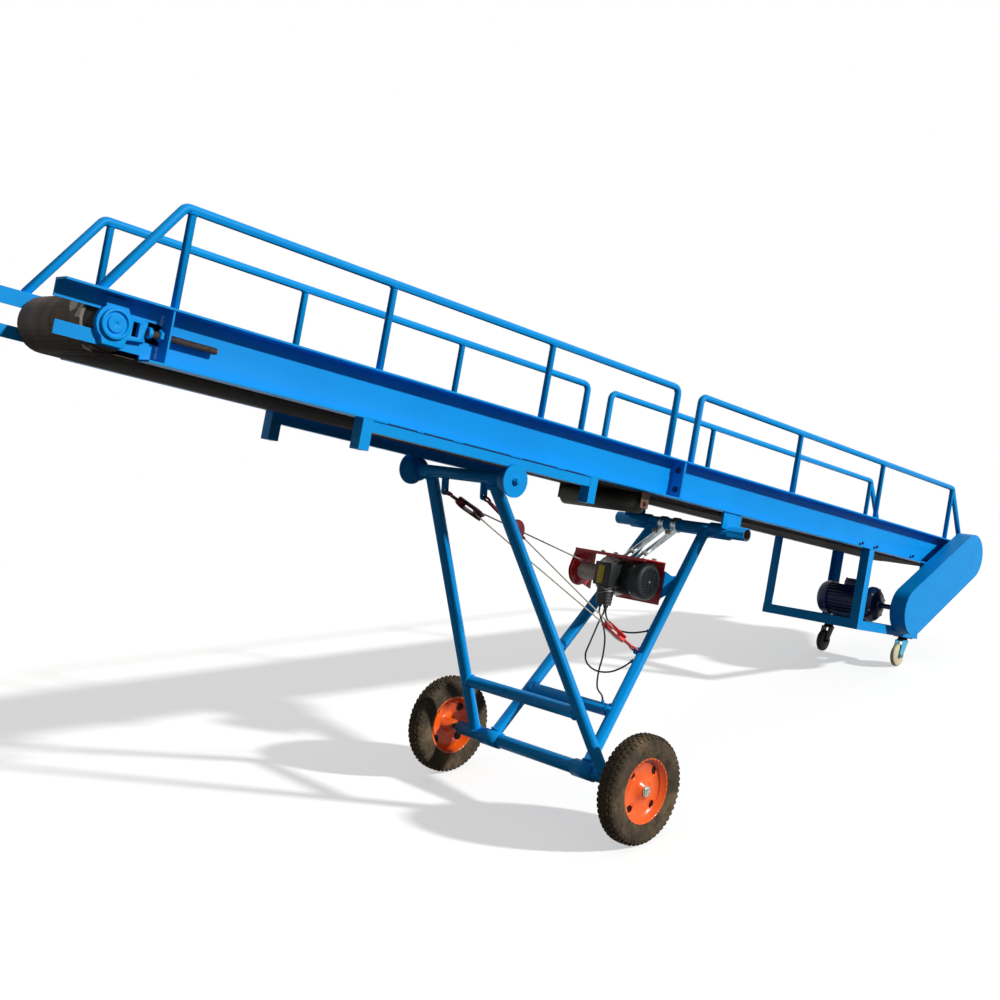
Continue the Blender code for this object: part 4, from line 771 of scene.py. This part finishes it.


# Welds: where posts meet beams, pipes meet pipes, and the stitches along the roller tracks over a painted shadow
# line

rails = {
    "v": 0.2613, "height": 0.299, "pipe": 0.015, "post": 0.013, "lift": 0.0012, "sunk": 0.93,
    "upperPosts": (0.025, 0.8, 1.6), "upperEnds": (-0.205, 2.4),
    "lowerPosts": (3.399, 4.229, 5.059), "lowerEnds": (2.569, 5.264),
    "footBead": 0.0032, "headBead": 0.0028, "endBead": 0.0034,
}
legs = {
    "hinge": -0.2576, "axle": -1.350, "roller": 1.485, "pivot": 2.915, "wheel": 2.200, "radius": 0.026,
    "frontTop": 0.180, "frontLow": 0.385, "rearTop": 0.148, "rearLow": 0.280, "topTube": 0.024,
    "pivotPipe": 0.030, "axlePipe": 0.030, "sleeve": 0.0365, "barRadius": 0.027, "barAt": 0.78,
    "bead": 0.0042, "lift": 0.001,
}
stitches = {
    "gaps": ((0.792, 0.850), (0.984, 1.010), (1.155, 1.199), (1.444, 1.509), (1.702, 1.744), (1.872, 1.908)),
    "start": 0.792, "end": 1.908, "edge": 0.2952, "height": -0.1703, "bead": 0.0030, "gap": 0.0042,
}


def railWelds(size, side):
    v = side * size["v"]
    post, pipe, lift = size["post"], size["pipe"], size["lift"]
    out = []
    for u in (*size["upperPosts"], *size["lowerPosts"]):
        head = (u, v, size["height"] - pipe * size["sunk"])
        out += ringPlaces((u, v, lift), (0, 0, 1), post + 0.0006, size["footBead"])
        out += ringPlaces(head, (0, 0, -1), post + 0.0004, size["headBead"])
    for u in (*size["upperEnds"], *size["lowerEnds"]):
        out += ringPlaces((u, v, lift), (0, 0, 1), pipe + 0.0006, size["endBead"])
    return out


def legWelds(size, front):
    upper, lower = ("topTube", "axlePipe") if front else ("pivotPipe", "sleeve")
    head, pair = ("roller", "front") if front else ("pivot", "rear")
    radius, bead, lift = size["radius"], size["bead"], size["lift"]
    out = []
    for side in (-1, 1):
        top = Vector((size[head], side * size[pair + "Top"], size["hinge"]))
        low = Vector((size["wheel"], side * size[pair + "Low"], size["axle"]))
        run = (low - top).normalized()
        out += ringPlaces(top + run * (size[upper] + lift), run, radius + 0.0012, bead)
        out += ringPlaces(low - run * (size[lower] + lift), run, radius + 0.0012, bead)
        middle = top.lerp(low, size["barAt"]) - Vector((0, side * (radius + lift), 0))
        out += ringPlaces(middle, (0, -side, 0), size["barRadius"] + lift, bead)
    return out


for label, side in sides.items():
    stand("rail_welds_" + label, beadUnit, railWelds(rails, side), blueEnamel, "conveyor", 0.16, 3)
stand("front_leg_welds", beadUnit, legWelds(legs, True), blueEnamel, "front_legs", 0.16, 5)
stand("rear_leg_welds", beadUnit, legWelds(legs, False), blueEnamel, "rear_legs", 0.16, 7)


def makeStitches(size, label, side):
    v = side * size["edge"]
    work = bmesh.new()
    # a thin dark strip along the flange edge: painted shadow in the gap, which the stitch beads bridge
    block(work, (size["start"], size["end"]), (v - side * 0.0008, v + side * 0.0002),
          span(size["height"], size["gap"] / 2))
    finishWork(work, "track_crevice_" + label, trackGapShadow, "conveyor")
    out = []
    for start, end in size["gaps"]:
        out += linePlaces((start, v, size["height"]), (end, v, size["height"]), size["bead"], (0, side, 0))
    stand("track_stitches_" + label, beadUnit, out, blueEnamel, "conveyor", 0.12, 9)


for label, side in sides.items():
    makeStitches(stitches, label, side)
print("welds laid")


# Bolts of the frame: splice plates, drive frame, idler brackets, guide rollers

boltPlaces = {
    "splice": 2.5, "spliceHeights": (-0.045, -0.128), "spliceReach": 0.0064, "flangeMiddle": 0.262,
    "frameBolts": ((4.186, -0.147), (4.343, -0.147), (4.761, -0.146), (4.922, -0.148)), "apart": 0.014,
    "rise": 0.3, "webFace": 0.2322, "idler": (2.330, -0.218), "idlerFace": 0.2456, "stubEnd": 0.3122,
}


def frameBolts(size, side):
    out = []
    for w in size["spliceHeights"]:
        for hand in (-1, 1):
            spot = (size["splice"] + hand * size["spliceReach"], side * size["flangeMiddle"], w)
            out.append((spot, (hand, 0, 0), (0, 0, 1), 1.1))
    for u, w in size["frameBolts"]:
        for shift in (-size["apart"], size["apart"]):
            spot = (u + shift, side * size["webFace"], w + shift * size["rise"])
            out.append((spot, (0, side, 0), (1, 0, 0.4), 0.72))
    return out


def makeFrameBolts(size, label, side):
    stand("frame_bolts_" + label, boltUnit, frameBolts(size, side), navyEnamel, "conveyor")
    spot = (size["idler"][0], side * size["idlerFace"], size["idler"][1])
    stand("idler_bolt_" + label, boltUnit, [(spot, (0, side, 0), (1, 0, 0), 1.0)], rustySteel, "conveyor")
    spot = (legs["roller"], side * size["stubEnd"], legs["hinge"])
    nut = (spot, (0, side, 0), (1, 0, 0.2), 1.25)
    stand("roller_nut_" + label, boltUnit, [nut], blueEnamel, "front_legs")


for label, side in sides.items():
    makeFrameBolts(boltPlaces, label, side)
print("bolts set")


# Take-up screws: a rolled thread, a collar and a painted nut

takeup = {
    "v": 0.256, "w": -0.085, "start": -0.0417, "end": 0.190, "crest": 0.011, "root": 0.0094,
    "pitch": 0.0032, "seamU": 0.0085, "seamV": 0.2345, "bead": 0.0056,
    "seams": ((-0.024, -0.050), (-0.118, -0.150)),
    "collar": [(0.0112, -0.0417), (0.017, -0.0417), (0.017, -0.0317), (0.015, -0.0297), (0.0112, -0.0297)],
    "nut": [(0.0112, -0.0063), (0.016016, -0.0063), (0.0182, -0.0043), (0.0182, 0.0077), (0.016016, 0.0097),
            (0.0112, 0.0097)],
}


def makeTakeup(size, label, side):
    seat = axes(Vector((0, side * size["v"], size["w"])), (1, 0, 0))
    profile = [(0, size["start"])]
    at = size["start"]
    while at < size["end"] - 2 * size["pitch"]:
        profile += [(size["root"], at + 0.0003), (size["crest"], at + size["pitch"] / 2)]
        at += size["pitch"]
    profile += [(size["root"], at), (size["crest"] * 0.85, size["end"] - 0.001), (0, size["end"])]
    turnedPiece("takeup_thread_" + label, profile, seat, 20, threadSteel, "conveyor",
                ("takeup_screw_" + label,), 60)
    work = bmesh.new()
    turned(work, size["collar"], seat, 24)
    turned(work, size["nut"], seat, 6)
    finishWork(work, "takeup_nut_" + label, blueEnamel, "conveyor")
    u, v = size["seamU"], side * size["seamV"]
    out = []
    for high, low in size["seams"]:
        out += linePlaces((u, v, high), (u, v, low), size["bead"], (-1, side, 0))
    # these beads carry a painted highlight, near white where the sun would glint on them
    stand("takeup_welds_" + label, beadUnit, out, weldGlint, "conveyor", 0.2, 11)


for label, side in sides.items():
    makeTakeup(takeup, label, side)


# Repairs glued on the belt where it turns round the tail drum

beltPatches = {
    "pale": (((132, -0.084), (147, -0.104), (160, -0.124), (171, -0.146)),
             ((136, -0.140), (146, -0.158), (155, -0.171), (163, -0.180))),
    "dark": (((134, -0.146), (145, -0.164), (156, -0.178), (166, -0.182)),
             ((139, -0.216), (149, -0.216), (160, -0.216), (172, -0.216))),
    "second": (((150, -0.192), (160, -0.194), (171, -0.192), (180, -0.180)),
               ((158, -0.2165), (166, -0.2165), (174, -0.2165), (183, -0.2165))),
    "low": (((233, -0.180), (239, -0.174), (245, -0.168)), ((244, -0.205), (250, -0.200), (256, -0.192))),
    "u": -0.140, "w": -0.085, "radius": 0.0890, "overlap": 0.0897, "thick": 0.0006,
}


def makeBeltPatch(label, radius, material, size):
    # a strip between two rows of (degrees round the tail drum, v)
    work = bmesh.new()
    u, w = size["u"], size["w"]
    layers = []
    for reach in (radius, radius + size["thick"]):
        layers.append([[work.verts.new(ringSpot(u, v, w, reach, radians(angle))) for angle, v in row]
                       for row in size[label]])
    for grid in layers:
        for corners in zip(grid[0], grid[0][1:], grid[1][1:], grid[1]):
            work.faces.new(corners)
    for low, high in zip(*layers):
        for corners in zip(low, low[1:], high[1:], high):
            work.faces.new(corners)
    for end in (0, -1):
        work.faces.new((layers[0][0][end], layers[0][1][end], layers[1][1][end], layers[1][0][end]))
    finishWork(work, "belt_patch_" + label, material, "conveyor")


makeBeltPatch("pale", beltPatches["radius"], beltPatch, beltPatches)
makeBeltPatch("dark", beltPatches["radius"], beltSmear, beltPatches)
makeBeltPatch("second", beltPatches["overlap"], beltPatch, beltPatches)
makeBeltPatch("low", beltPatches["radius"], beltPatch, beltPatches)
print("take-up dressed")


# Road wheels: moulded tyre with tread blocks, near-black discs behind the rim's holes as painted shade, hub nut

wheel = {
    "u": 2.200, "w": -1.350, "v": 0.570, "sides": 112, "rows": 54, "crown": 0.2165, "stubEnd": 0.612,
    "hubEnd": 0.6062, "holes": 4, "firstHole": 53, "holeRing": 0.096, "coneDepth": 0.0073,
    "coneSlope": 0.1846, "sunk": 0.0015,
    "hollow": [(0, 0), (0.0185, 0), (0.0185, 0.0012), (0, 0.0012)],
    "washer": [(0.0129, 0.0003), (0.0235, 0.0003), (0.0235, 0.0018), (0.0225, 0.0022), (0.0129, 0.0022)],
    "nut": [(0.0129, 0.0023), (0.0180, 0.0023), (0.0190, 0.0032), (0.0190, 0.0056), (0.0175, 0.0066),
            (0.0129, 0.0066)],
    "stubFace": [(0, 0.0003), (0.0120, 0.0003), (0.0116, 0.0012), (0.0050, 0.0017), (0, 0.0012)],
    "halfTyre": [
        (0.1285, 0.0350), (0.1360, 0.0378), (0.1440, 0.0398), (0.1500, 0.0420), (0.1560, 0.0418),
        (0.1650, 0.0436), (0.1760, 0.0438), (0.1800, 0.0428), (0.1880, 0.0432), (0.1960, 0.0412),
        (0.2050, 0.0372), (0.2110, 0.0310), (0.2145, 0.0210), (0.2160, 0.0100),
    ],
}
treadRows = (
    {"across": 0.0, "radius": 0.2160, "tilt": 0.0, "turn": 34, "size": (1.0, 1.0, 1.0), "shift": 0.0},
    {"across": 0.0175, "radius": 0.2150, "tilt": 6.0, "turn": -30, "size": (1.0, 0.95, 1.1), "shift": 0.5},
    {"across": 0.0330, "radius": 0.2085, "tilt": 42.0, "turn": 0, "size": (0.80, 1.15, 0.85), "shift": 0.0},
    {"across": 0.0404, "radius": 0.1945, "tilt": 74.0, "turn": 0, "size": (0.55, 0.75, 0.45), "shift": 0.5},
)
lug = {"halfU": 0.0085, "halfV": 0.0065, "low": -0.002, "high": 0.0048, "topU": 0.84, "topV": 0.80}


def makeLugUnit(size):
    # one tread block with sloped flanks, sunk a little into the tyre
    work = bmesh.new()
    x, y = size["halfU"], size["halfV"]
    slab(work, [(-x, -y), (x, -y), (x, y), (-x, y)], size["low"], size["high"])
    for vert in work.verts:
        if vert.co.z > 0:
            vert.co.x *= size["topU"]
            vert.co.y *= size["topV"]
    return unitObject(work, "lug_unit")


lugUnit = makeLugUnit(lug)


def treadPlaces(size, centre):
    # the middle row zigzags, the others come in mirrored pairs
    across = Vector((0, 1, 0))
    out = []
    for row in treadRows:
        for hand in (1, -1) if row["across"] else (1,):
            tilt = radians(hand * row["tilt"])
            for index in range(size["rows"]):
                outward = spoke(2 * pi * (index + row["shift"]) / size["rows"])
                around = Vector((-outward.z, 0, outward.x))
                aim = outward * cos(tilt) + across * sin(tilt)
                flat = across * cos(tilt) - outward * sin(tilt)
                turn = radians(hand * row["turn"]) * (1 if index % 2 or row["across"] else -1)
                heading = around * cos(turn) + flat * sin(turn)
                spot = centre + outward * row["radius"] + across * (hand * row["across"])
                out.append((spot, aim, heading, row["size"]))
    return out


def makeWheel(size, label, side):
    centre = Vector((size["u"], side * size["v"], size["w"]))
    body = "wheel_" + label
    near = [(radius, -reach) for radius, reach in size["halfTyre"]]
    profile = [*near, (size["crown"], 0.0), *size["halfTyre"][::-1], near[0]]
    turnedPiece("tyre_body_" + label, profile, axes(centre, (0, 1, 0)), size["sides"], tyreRubber, body,
                ("tyre_" + label,), 60)
    stand("tyre_tread_" + label, lugUnit, treadPlaces(size, centre), tyreRubber, body, 0.05, 13, 30)
    # near-black discs in the rim's holes: painted shade for the shadowed inside of the rim
    work = bmesh.new()
    for index in range(size["holes"]):
        outward = spoke(pi / 2 * index + radians(size["firstHole"]))
        lean = (Vector((0, side, 0)) + outward * size["coneSlope"]).normalized()
        spot = centre + outward * size["holeRing"] + Vector((0, side * size["coneDepth"], 0))
        turned(work, size["hollow"], axes(spot - lean * size["sunk"], lean), 20)
    finishWork(work, "rim_hollows_" + label, hollowShadePaint, body)
    hub = axes(Vector((size["u"], side * size["hubEnd"], size["w"])), (0, side, 0))
    work = bmesh.new()
    turned(work, size["washer"], hub, 28)
    turned(work, size["nut"], hub, 6)
    finishWork(work, "axle_nut_" + label, steelNut, "front_legs")
    end = axes(Vector((size["u"], side * size["stubEnd"], size["w"])), (0, side, 0))
    turnedPiece("axle_end_" + label, size["stubFace"], end, 24, steelNut, "front_legs")


for label, side in sides.items():
    makeWheel(wheel, label, side)
print("wheels dressed")


# Pivot pipe: rusty inside its open ends

pivotEnds = {"end": 0.3788, "depth": 0.10, "bore": 0.0260, "wall": 0.0008}


def makePipeLiner(size, label, side):
    seat = axes(Vector((legs["pivot"], side * size["end"], legs["hinge"])), (0, -side, 0))
    bore, depth = size["bore"], size["depth"]
    inner, floor = bore - size["wall"], depth - 0.001
    profile = [(bore, 0), (bore, depth), (0, depth), (0, floor), (inner, floor), (inner, 0), (bore, 0)]
    turnedPiece("pivot_pipe_inside_" + label, profile, seat, 32, rustySteel, "rear_legs")


for label, side in sides.items():
    makePipeLiner(pivotEnds, label, side)


# Drive motor: finned housing, end bells, feet and terminal box

drive = {
    "u": 4.620, "w": -0.450, "core": 0.0835, "fins": 30, "finless": ((63, 117), (232, 308)),
    "fin": (0.226, 0.0135, 0.0032), "finMiddle": 0.009,
    "housing": [
        (0, -0.170), (0.030, -0.170), (0.034, -0.164), (0.050, -0.158), (0.078, -0.152), (0.094, -0.136),
        (0.098, -0.126), (0.098, -0.108), (0.0835, -0.104), (0.0835, 0.122), (0.096, 0.124), (0.096, 0.160),
        (0.088, 0.180), (0.076, 0.190), (0, 0.190),
    ],
    "shaft": [(0, -0.340), (0.0130, -0.340), (0.0140, -0.339), (0.0140, -0.166), (0, -0.166)],
    "feet": ((0.040, 0.085), (-0.088, 0.098), (-0.5597, -0.5497)),
    "webs": ((0.046, 0.060), (-0.080, 0.090), (-0.5507, -0.505)),
    "box": (0.045, 0.050, (-0.380, -0.338), 0.004),
    "lid": (0.042, 0.047, (-0.3375, -0.3255), 0.003),
    "footBolts": (0.073, (-0.065, 0.075), -0.5495, 0.75),
    "lidBolts": (0.036, (-0.04, 0.04), -0.3253, 0.30),
    "bellV": -0.146, "bellRing": (0.086, 6, 0.4, 0.55),
}


def makeFinUnit(length, height, thick):
    half, shoulder = length / 2, height * 0.8
    outline = [(-half, -0.002), (half, -0.002), (half, shoulder), (half - 0.006, height),
               (-half + 0.006, height), (-half, shoulder)]
    work = bmesh.new()
    slab(work, outline, -thick / 2, thick / 2, Matrix.Rotation(pi / 2, 4, "X"))
    return unitObject(work, "fin_unit")


def finPlaces(centre, radius, count, finless=()):
    out = []
    for index in range(count):
        angle = 2 * pi * index / count
        if not any(radians(low) <= angle <= radians(high) for low, high in finless):
            outward = spoke(angle)
            out.append((Vector(centre) + outward * radius, outward, (0, 1, 0), 1.0))
    return out


def boltRing(u, v, w, radius, count, first, size):
    # bolt heads towards the near side, round a line across the conveyor
    angles = [2 * pi * index / count + first for index in range(count)]
    return [(ringSpot(u, v, w, radius, angle), (0, -1, 0), spoke(angle), size) for angle in angles]


def makeDriveMotor(size):
    seat = acrossSeat(size)
    u, w = size["u"], size["w"]
    work = bmesh.new()
    turned(work, size["housing"], seat, 56)
    turned(work, size["shaft"], seat, 24)
    for hand in (-1, 1):
        for (inner, outer), v, height in (size["feet"], size["webs"]):
            block(work, (u + hand * inner, u + hand * outer), v, height, 0.002)
    for halfU, halfV, height, bevel in (size["box"], size["lid"]):
        block(work, span(u, halfU), span(0, halfV), height, bevel)
    finishWork(work, "drive_motor_housing", navyEnamel, "conveyor", ("drive_motor",), 32)
    unit = makeFinUnit(*size["fin"])
    places = finPlaces((u, size["finMiddle"], w), size["core"], size["fins"], size["finless"])
    stand("drive_motor_fins", unit, places, navyEnamel, "conveyor")
    bpy.data.objects.remove(unit)
    spots = []
    for reach, row, height, scale in (size["footBolts"], size["lidBolts"]):
        for hand in (-1, 1):
            spots += [((u + hand * reach, v, height), (0, 0, 1), (1, 0, 0), scale) for v in row]
    stand("drive_motor_bolts", boltUnit, spots, steelNut, "conveyor")
    ring = boltRing(u, size["bellV"], w, *size["bellRing"])
    stand("drive_bell_bolts", boltUnit, ring, steelNut, "conveyor")


makeDriveMotor(drive)
print("drive motor dressed")


# Rope hoist: drum with its turns of rope, finned motor, slatted fan cover, switch box with boot and ties

hoistAxis = {"u": 2.600, "w": -0.545}
hoistMotor = {
    **hoistAxis, "fin": (0.066, 0.0058, 0.0022), "finMiddle": -0.0145, "core": 0.0670, "fins": 44,
    "housing": [
        (0, -0.0656), (0.0735, -0.0656), (0.0735, -0.0536), (0.0700, -0.0506), (0.0672, -0.0476),
        (0.0672, 0.018), (0.0720, 0.021), (0.0735, 0.024), (0.0735, 0.0396), (0, 0.0396),
    ],
    "gearV": 0.0398, "gearRing": (0.0790, 8, 0.3, 0.5),
}


def makeHoistMotor(size):
    turnedPiece("hoist_motor_housing", size["housing"], acrossSeat(size), 48, motorBlack, "rear_legs",
                ("hoist_motor",), 32)
    unit = makeFinUnit(*size["fin"])
    places = finPlaces((size["u"], size["finMiddle"], size["w"]), size["core"], size["fins"])
    stand("hoist_motor_fins", unit, places, motorBlack, "rear_legs")
    bpy.data.objects.remove(unit)
    ring = boltRing(size["u"], size["gearV"], size["w"], *size["gearRing"])
    stand("hoist_gear_bolts", boltUnit, ring, steelNut, "rear_legs")


fanCover = {
    **hoistAxis,
    "shell": [
        (0, -0.0664), (0.083, -0.0664), (0.084, -0.0674), (0.084, -0.0804), (0.0824, -0.0824),
        (0.0824, -0.0854), (0.084, -0.0874), (0.084, -0.112), (0.082, -0.119), (0.076, -0.125),
        (0.069, -0.128), (0.0600, -0.128), (0.0585, -0.126), (0.0585, -0.118), (0, -0.118),
    ],
    "inside": [(0, -0.1182), (0.0583, -0.1182), (0.0583, -0.1190), (0, -0.1190)],
    "grille": 0.0586, "slats": 13, "slatPitch": 0.0088, "slatHalf": 0.0019, "slatV": (-0.1268, -0.1195),
    "bars": (-0.030, 0.0, 0.030), "barHalf": 0.0015, "barReach": 0.048, "barV": (-0.125, -0.1192),
    "screwV": -0.0744, "screwRing": 0.0841,
}


def makeFanCover(size):
    seat = acrossSeat(size)
    u, w = size["u"], size["w"]
    turnedPiece("fan_cover_shell", size["shell"], seat, 56, blackPlastic, "rear_legs",
                ("hoist_fan_cover",), 32)
    # a near-black disc behind the grille: painted shade for the cover's shadowed inside
    turnedPiece("fan_cover_dark", size["inside"], seat, 40, hollowShadePaint, "rear_legs")
    work = bmesh.new()
    for index in range(size["slats"]):
        height = (index - size["slats"] // 2) * size["slatPitch"]
        reach = (size["grille"] ** 2 - height**2) ** 0.5
        block(work, span(u, reach), size["slatV"], span(w + height, size["slatHalf"]), 0.0006)
    for shift in size["bars"]:
        block(work, span(u + shift, size["barHalf"]), size["barV"], span(w, size["barReach"]), 0.0005)
    finishWork(work, "fan_cover_slats", slatGrey, "rear_legs")
    screws = [((u, size["slatV"][0], w), (0, -1, 0), (1, 0, 0), 0.45)]
    for index in range(4):
        angle = pi / 4 + pi * index / 2
        spot = ringSpot(u, size["screwV"], w, size["screwRing"], angle)
        screws.append((spot, spoke(angle), (0, 1, 0), 0.42))
    stand("fan_cover_screws", boltUnit, screws, steelNut, "rear_legs")


hoistDrum = {
    **hoistAxis,
    "flanges": [
        (0, 0.2952), (0.032, 0.2952), (0.038, 0.2922), (0.066, 0.2902), (0.070, 0.2882), (0.070, 0.2852),
        (0.067, 0.2832), (0.032, 0.2822), (0.032, 0.1483), (0.067, 0.1473), (0.070, 0.1453), (0.070, 0.1423),
        (0.066, 0.1403), (0.032, 0.1353), (0, 0.1353),
    ],
    "rope": 0.0035, "ropeRing": 0.0358, "ropeStart": 0.1528, "ropeEnd": 0.2777, "coils": 13, "steps": 28,
}


def makeHoistDrum(size):
    turnedPiece("hoist_drum_flanges", size["flanges"], acrossSeat(size), 56, brightRed, "rear_legs",
                ("hoist_drum",), 40)
    route = []
    steps = size["coils"] * size["steps"]
    for index in range(steps + 1):
        v = size["ropeStart"] + (size["ropeEnd"] - size["ropeStart"]) * index / steps
        angle = 2 * pi * size["coils"] * index / steps
        route.append(ringSpot(size["u"], v, size["w"], size["ropeRing"], angle))
    sweep("hoist_drum_rope", route, size["rope"], ropeWire, "rear_legs", sides=10)


gearRibs = {
    **hoistAxis, "rows": (0.052, 0.086, 0.120), "root": 0.085, "edge": 0.0872, "low": 0.003, "top": 0.0022,
}


def makeGearRibs(size):
    root, edge, low, top = size["root"], size["edge"], size["low"], size["top"]
    work = bmesh.new()
    for v in size["rows"]:
        turned(work, [(root, v - low), (edge, v - top), (edge, v + top), (root, v + low), (root, v - low)],
               acrossSeat(size), 56)
    finishWork(work, "gearbox_ribs", castAlloy, "rear_legs")


switchBox = {
    "case": ((2.450, 2.523), (-0.020, 0.075), (-0.595, -0.490), 0.005),
    "cap": ((2.460, 2.500), (-0.014, 0.069), (-0.493, -0.4905), 0.002),
    "plate": ((2.4484, 2.451), (0.018, 0.052), (-0.586, -0.506), 0.0006),
    "middle": (2.489, 0.023), "bootHalf": (0.031, 0.039), "bootTop": -0.592, "bootLow": -0.680,
    "bootSteps": 28, "bootLevels": 13, "fold": 0.93, "taperU": 0.22, "taperV": 0.10,
    "gland": [(0.0041, 0), (0.0060, 0), (0.0075, 0.004), (0.0085, 0.006), (0.0085, 0.0122), (0.0041, 0.0122)],
    "ties": ((-0.604, 0.010), (-0.628, -0.014)), "tieHalf": (0.0315, 0.0395), "tie": 0.0013, "tieSteps": 32,
}


def roundedSquare(angle):
    # a square with round corners, one metre from its middle to each side
    stretch = (abs(cos(angle)) ** 4 + abs(sin(angle)) ** 4) ** -0.25
    return cos(angle) * stretch, sin(angle) * stretch


def makeBoot(size):
    # a bellows under the box, every second ring of it drawn in
    (u, v), (halfU, halfV), steps = size["middle"], size["bootHalf"], size["bootSteps"]
    work = bmesh.new()
    rings = []
    for level in range(size["bootLevels"]):
        share = level / (size["bootLevels"] - 1)
        fold = size["fold"] if level % 2 else 1.0
        reachU = halfU * (1 - size["taperU"] * share) * fold
        reachV = halfV * (1 - size["taperV"] * share) * fold
        w = size["bootTop"] + (size["bootLow"] - size["bootTop"]) * share
        corners = [roundedSquare(2 * pi * step / steps) for step in range(steps)]
        rings.append([work.verts.new((u + reachU * x, v + reachV * y, w)) for x, y in corners])
    for low, high in zip(rings, rings[1:]):
        for corners in zip(low, low[1:] + low[:1], high[1:] + high[:1], high):
            work.faces.new(corners)
    work.faces.new(rings[0])
    work.faces.new(rings[-1])
    finishWork(work, "switch_box_boot", motorBlack, "rear_legs")


def makeSwitchBox(size):
    work = bmesh.new()
    block(work, *size["case"])
    block(work, *size["cap"])
    finishWork(work, "switch_box_case", blackPlastic, "rear_legs", ("hoist_switch_box",))
    work = bmesh.new()
    block(work, *size["plate"])
    finishWork(work, "switch_box_plate", ochrePlate, "rear_legs")
    makeBoot(size)
    for index, points in enumerate(cablePoints.values()):
        u, v = points[0][:2]
        seat = axes(Vector((cableSize["axis"] + u, v, cableSize["top"] + 0.0002)), (0, 0, 1))
        turnedPiece("cable_gland_" + str(index), size["gland"], seat, 16, blackPlastic, "rear_legs")
    (u, v), (halfU, halfV) = size["middle"], size["tieHalf"]
    for index, (w, lean) in enumerate(size["ties"]):
        route = []
        for step in range(size["tieSteps"] + 1):
            angle = 2 * pi * step / size["tieSteps"]
            x, y = roundedSquare(angle)
            route.append((u + halfU * x, v + halfV * y, w + lean * sin(angle)))
        sweep("boot_tie_" + str(index), route, size["tie"], whiteNylon, "rear_legs", sides=6)


hangerBolts = {
    "half": 0.0061, "bands": (0.020, 0.095), "clamps": ((2.712, -0.418), (2.860, -0.300)),
    "topU": 2.690, "topV": (-0.060, 0.170, 0.250), "topW": -0.4448,
    "backU": 2.7106, "backV": -0.106, "backW": (-0.505, -0.560, -0.610),
}


def makeHangerBolts(size):
    spots = []
    for v in size["bands"]:
        for u, w in size["clamps"]:
            for hand in (-1, 1):
                spots.append(((u, v + hand * size["half"], w), (0, hand, 0), (1, 0, 0), 1.0))
    for v in size["topV"]:
        spots.append(((size["topU"], v, size["topW"]), (0, 0, 1), (1, 0, 0), 1.1))
    for w in size["backW"]:
        spots.append(((size["backU"], size["backV"], w), (1, 0, 0), (0, 0, 1), 0.8))
    stand("hanger_bolts", boltUnit, spots, steelNut, "rear_legs")


hoistGusset = {
    "back": 2.7004, "corner": -0.126, "lean": 45, "thick": 0.012, "tabWall": 0.010, "tabEnd": -0.092,
    "high": -0.484, "low": -0.606,
    "outline": [(0, -0.484), (0.032, -0.500), (0.058, -0.494), (0.088, -0.474), (0.058, -0.562), (0, -0.606)],
}


def makeHoistGusset(size):
    # a plate welded to the near rear leg, with a tab that the back of the hoist's frame is bolted to
    lean = radians(size["lean"])
    corner = Vector((size["back"], size["corner"], 0))
    seat = axes(corner, (-sin(lean), -cos(lean), 0), (cos(lean), -sin(lean), 0))
    work = bmesh.new()
    slab(work, size["outline"], 0, size["thick"], seat)
    finishWork(work, "hoist_gusset_web", blueEnamel, "rear_legs")
    work = bmesh.new()
    block(work, (size["back"], size["back"] + size["tabWall"]), (size["corner"], size["tabEnd"]),
          (size["low"], size["high"]), 0.001)
    finishWork(work, "hoist_gusset_tab", blueEnamel, "rear_legs")


makeHoistMotor(hoistMotor)
makeHoistGusset(hoistGusset)
makeFanCover(fanCover)
makeHoistDrum(hoistDrum)
makeGearRibs(gearRibs)
makeSwitchBox(switchBox)
makeHangerBolts(hangerBolts)
print("hoist dressed")


# Casters: axle bolts

casters = {"v": 0.236, "wheel": 4.775, "axle": -0.707, "reach": 0.0301}


def makeCasterTrim(size, label, side):
    v = side * size["v"]
    spots = [((size["wheel"], v + hand * size["reach"], size["axle"]), (0, hand, 0), (1, 0, 0), 0.8)
             for hand in (-1, 1)]
    material = steelNut if side < 0 else blackPaint
    stand("caster_axle_" + label, boltUnit, spots, material, "caster_" + label)


for label, side in sides.items():
    makeCasterTrim(casters, label, side)
for unit in (boltUnit, beadUnit, lugUnit):
    bpy.data.objects.remove(unit)
print("casters dressed")
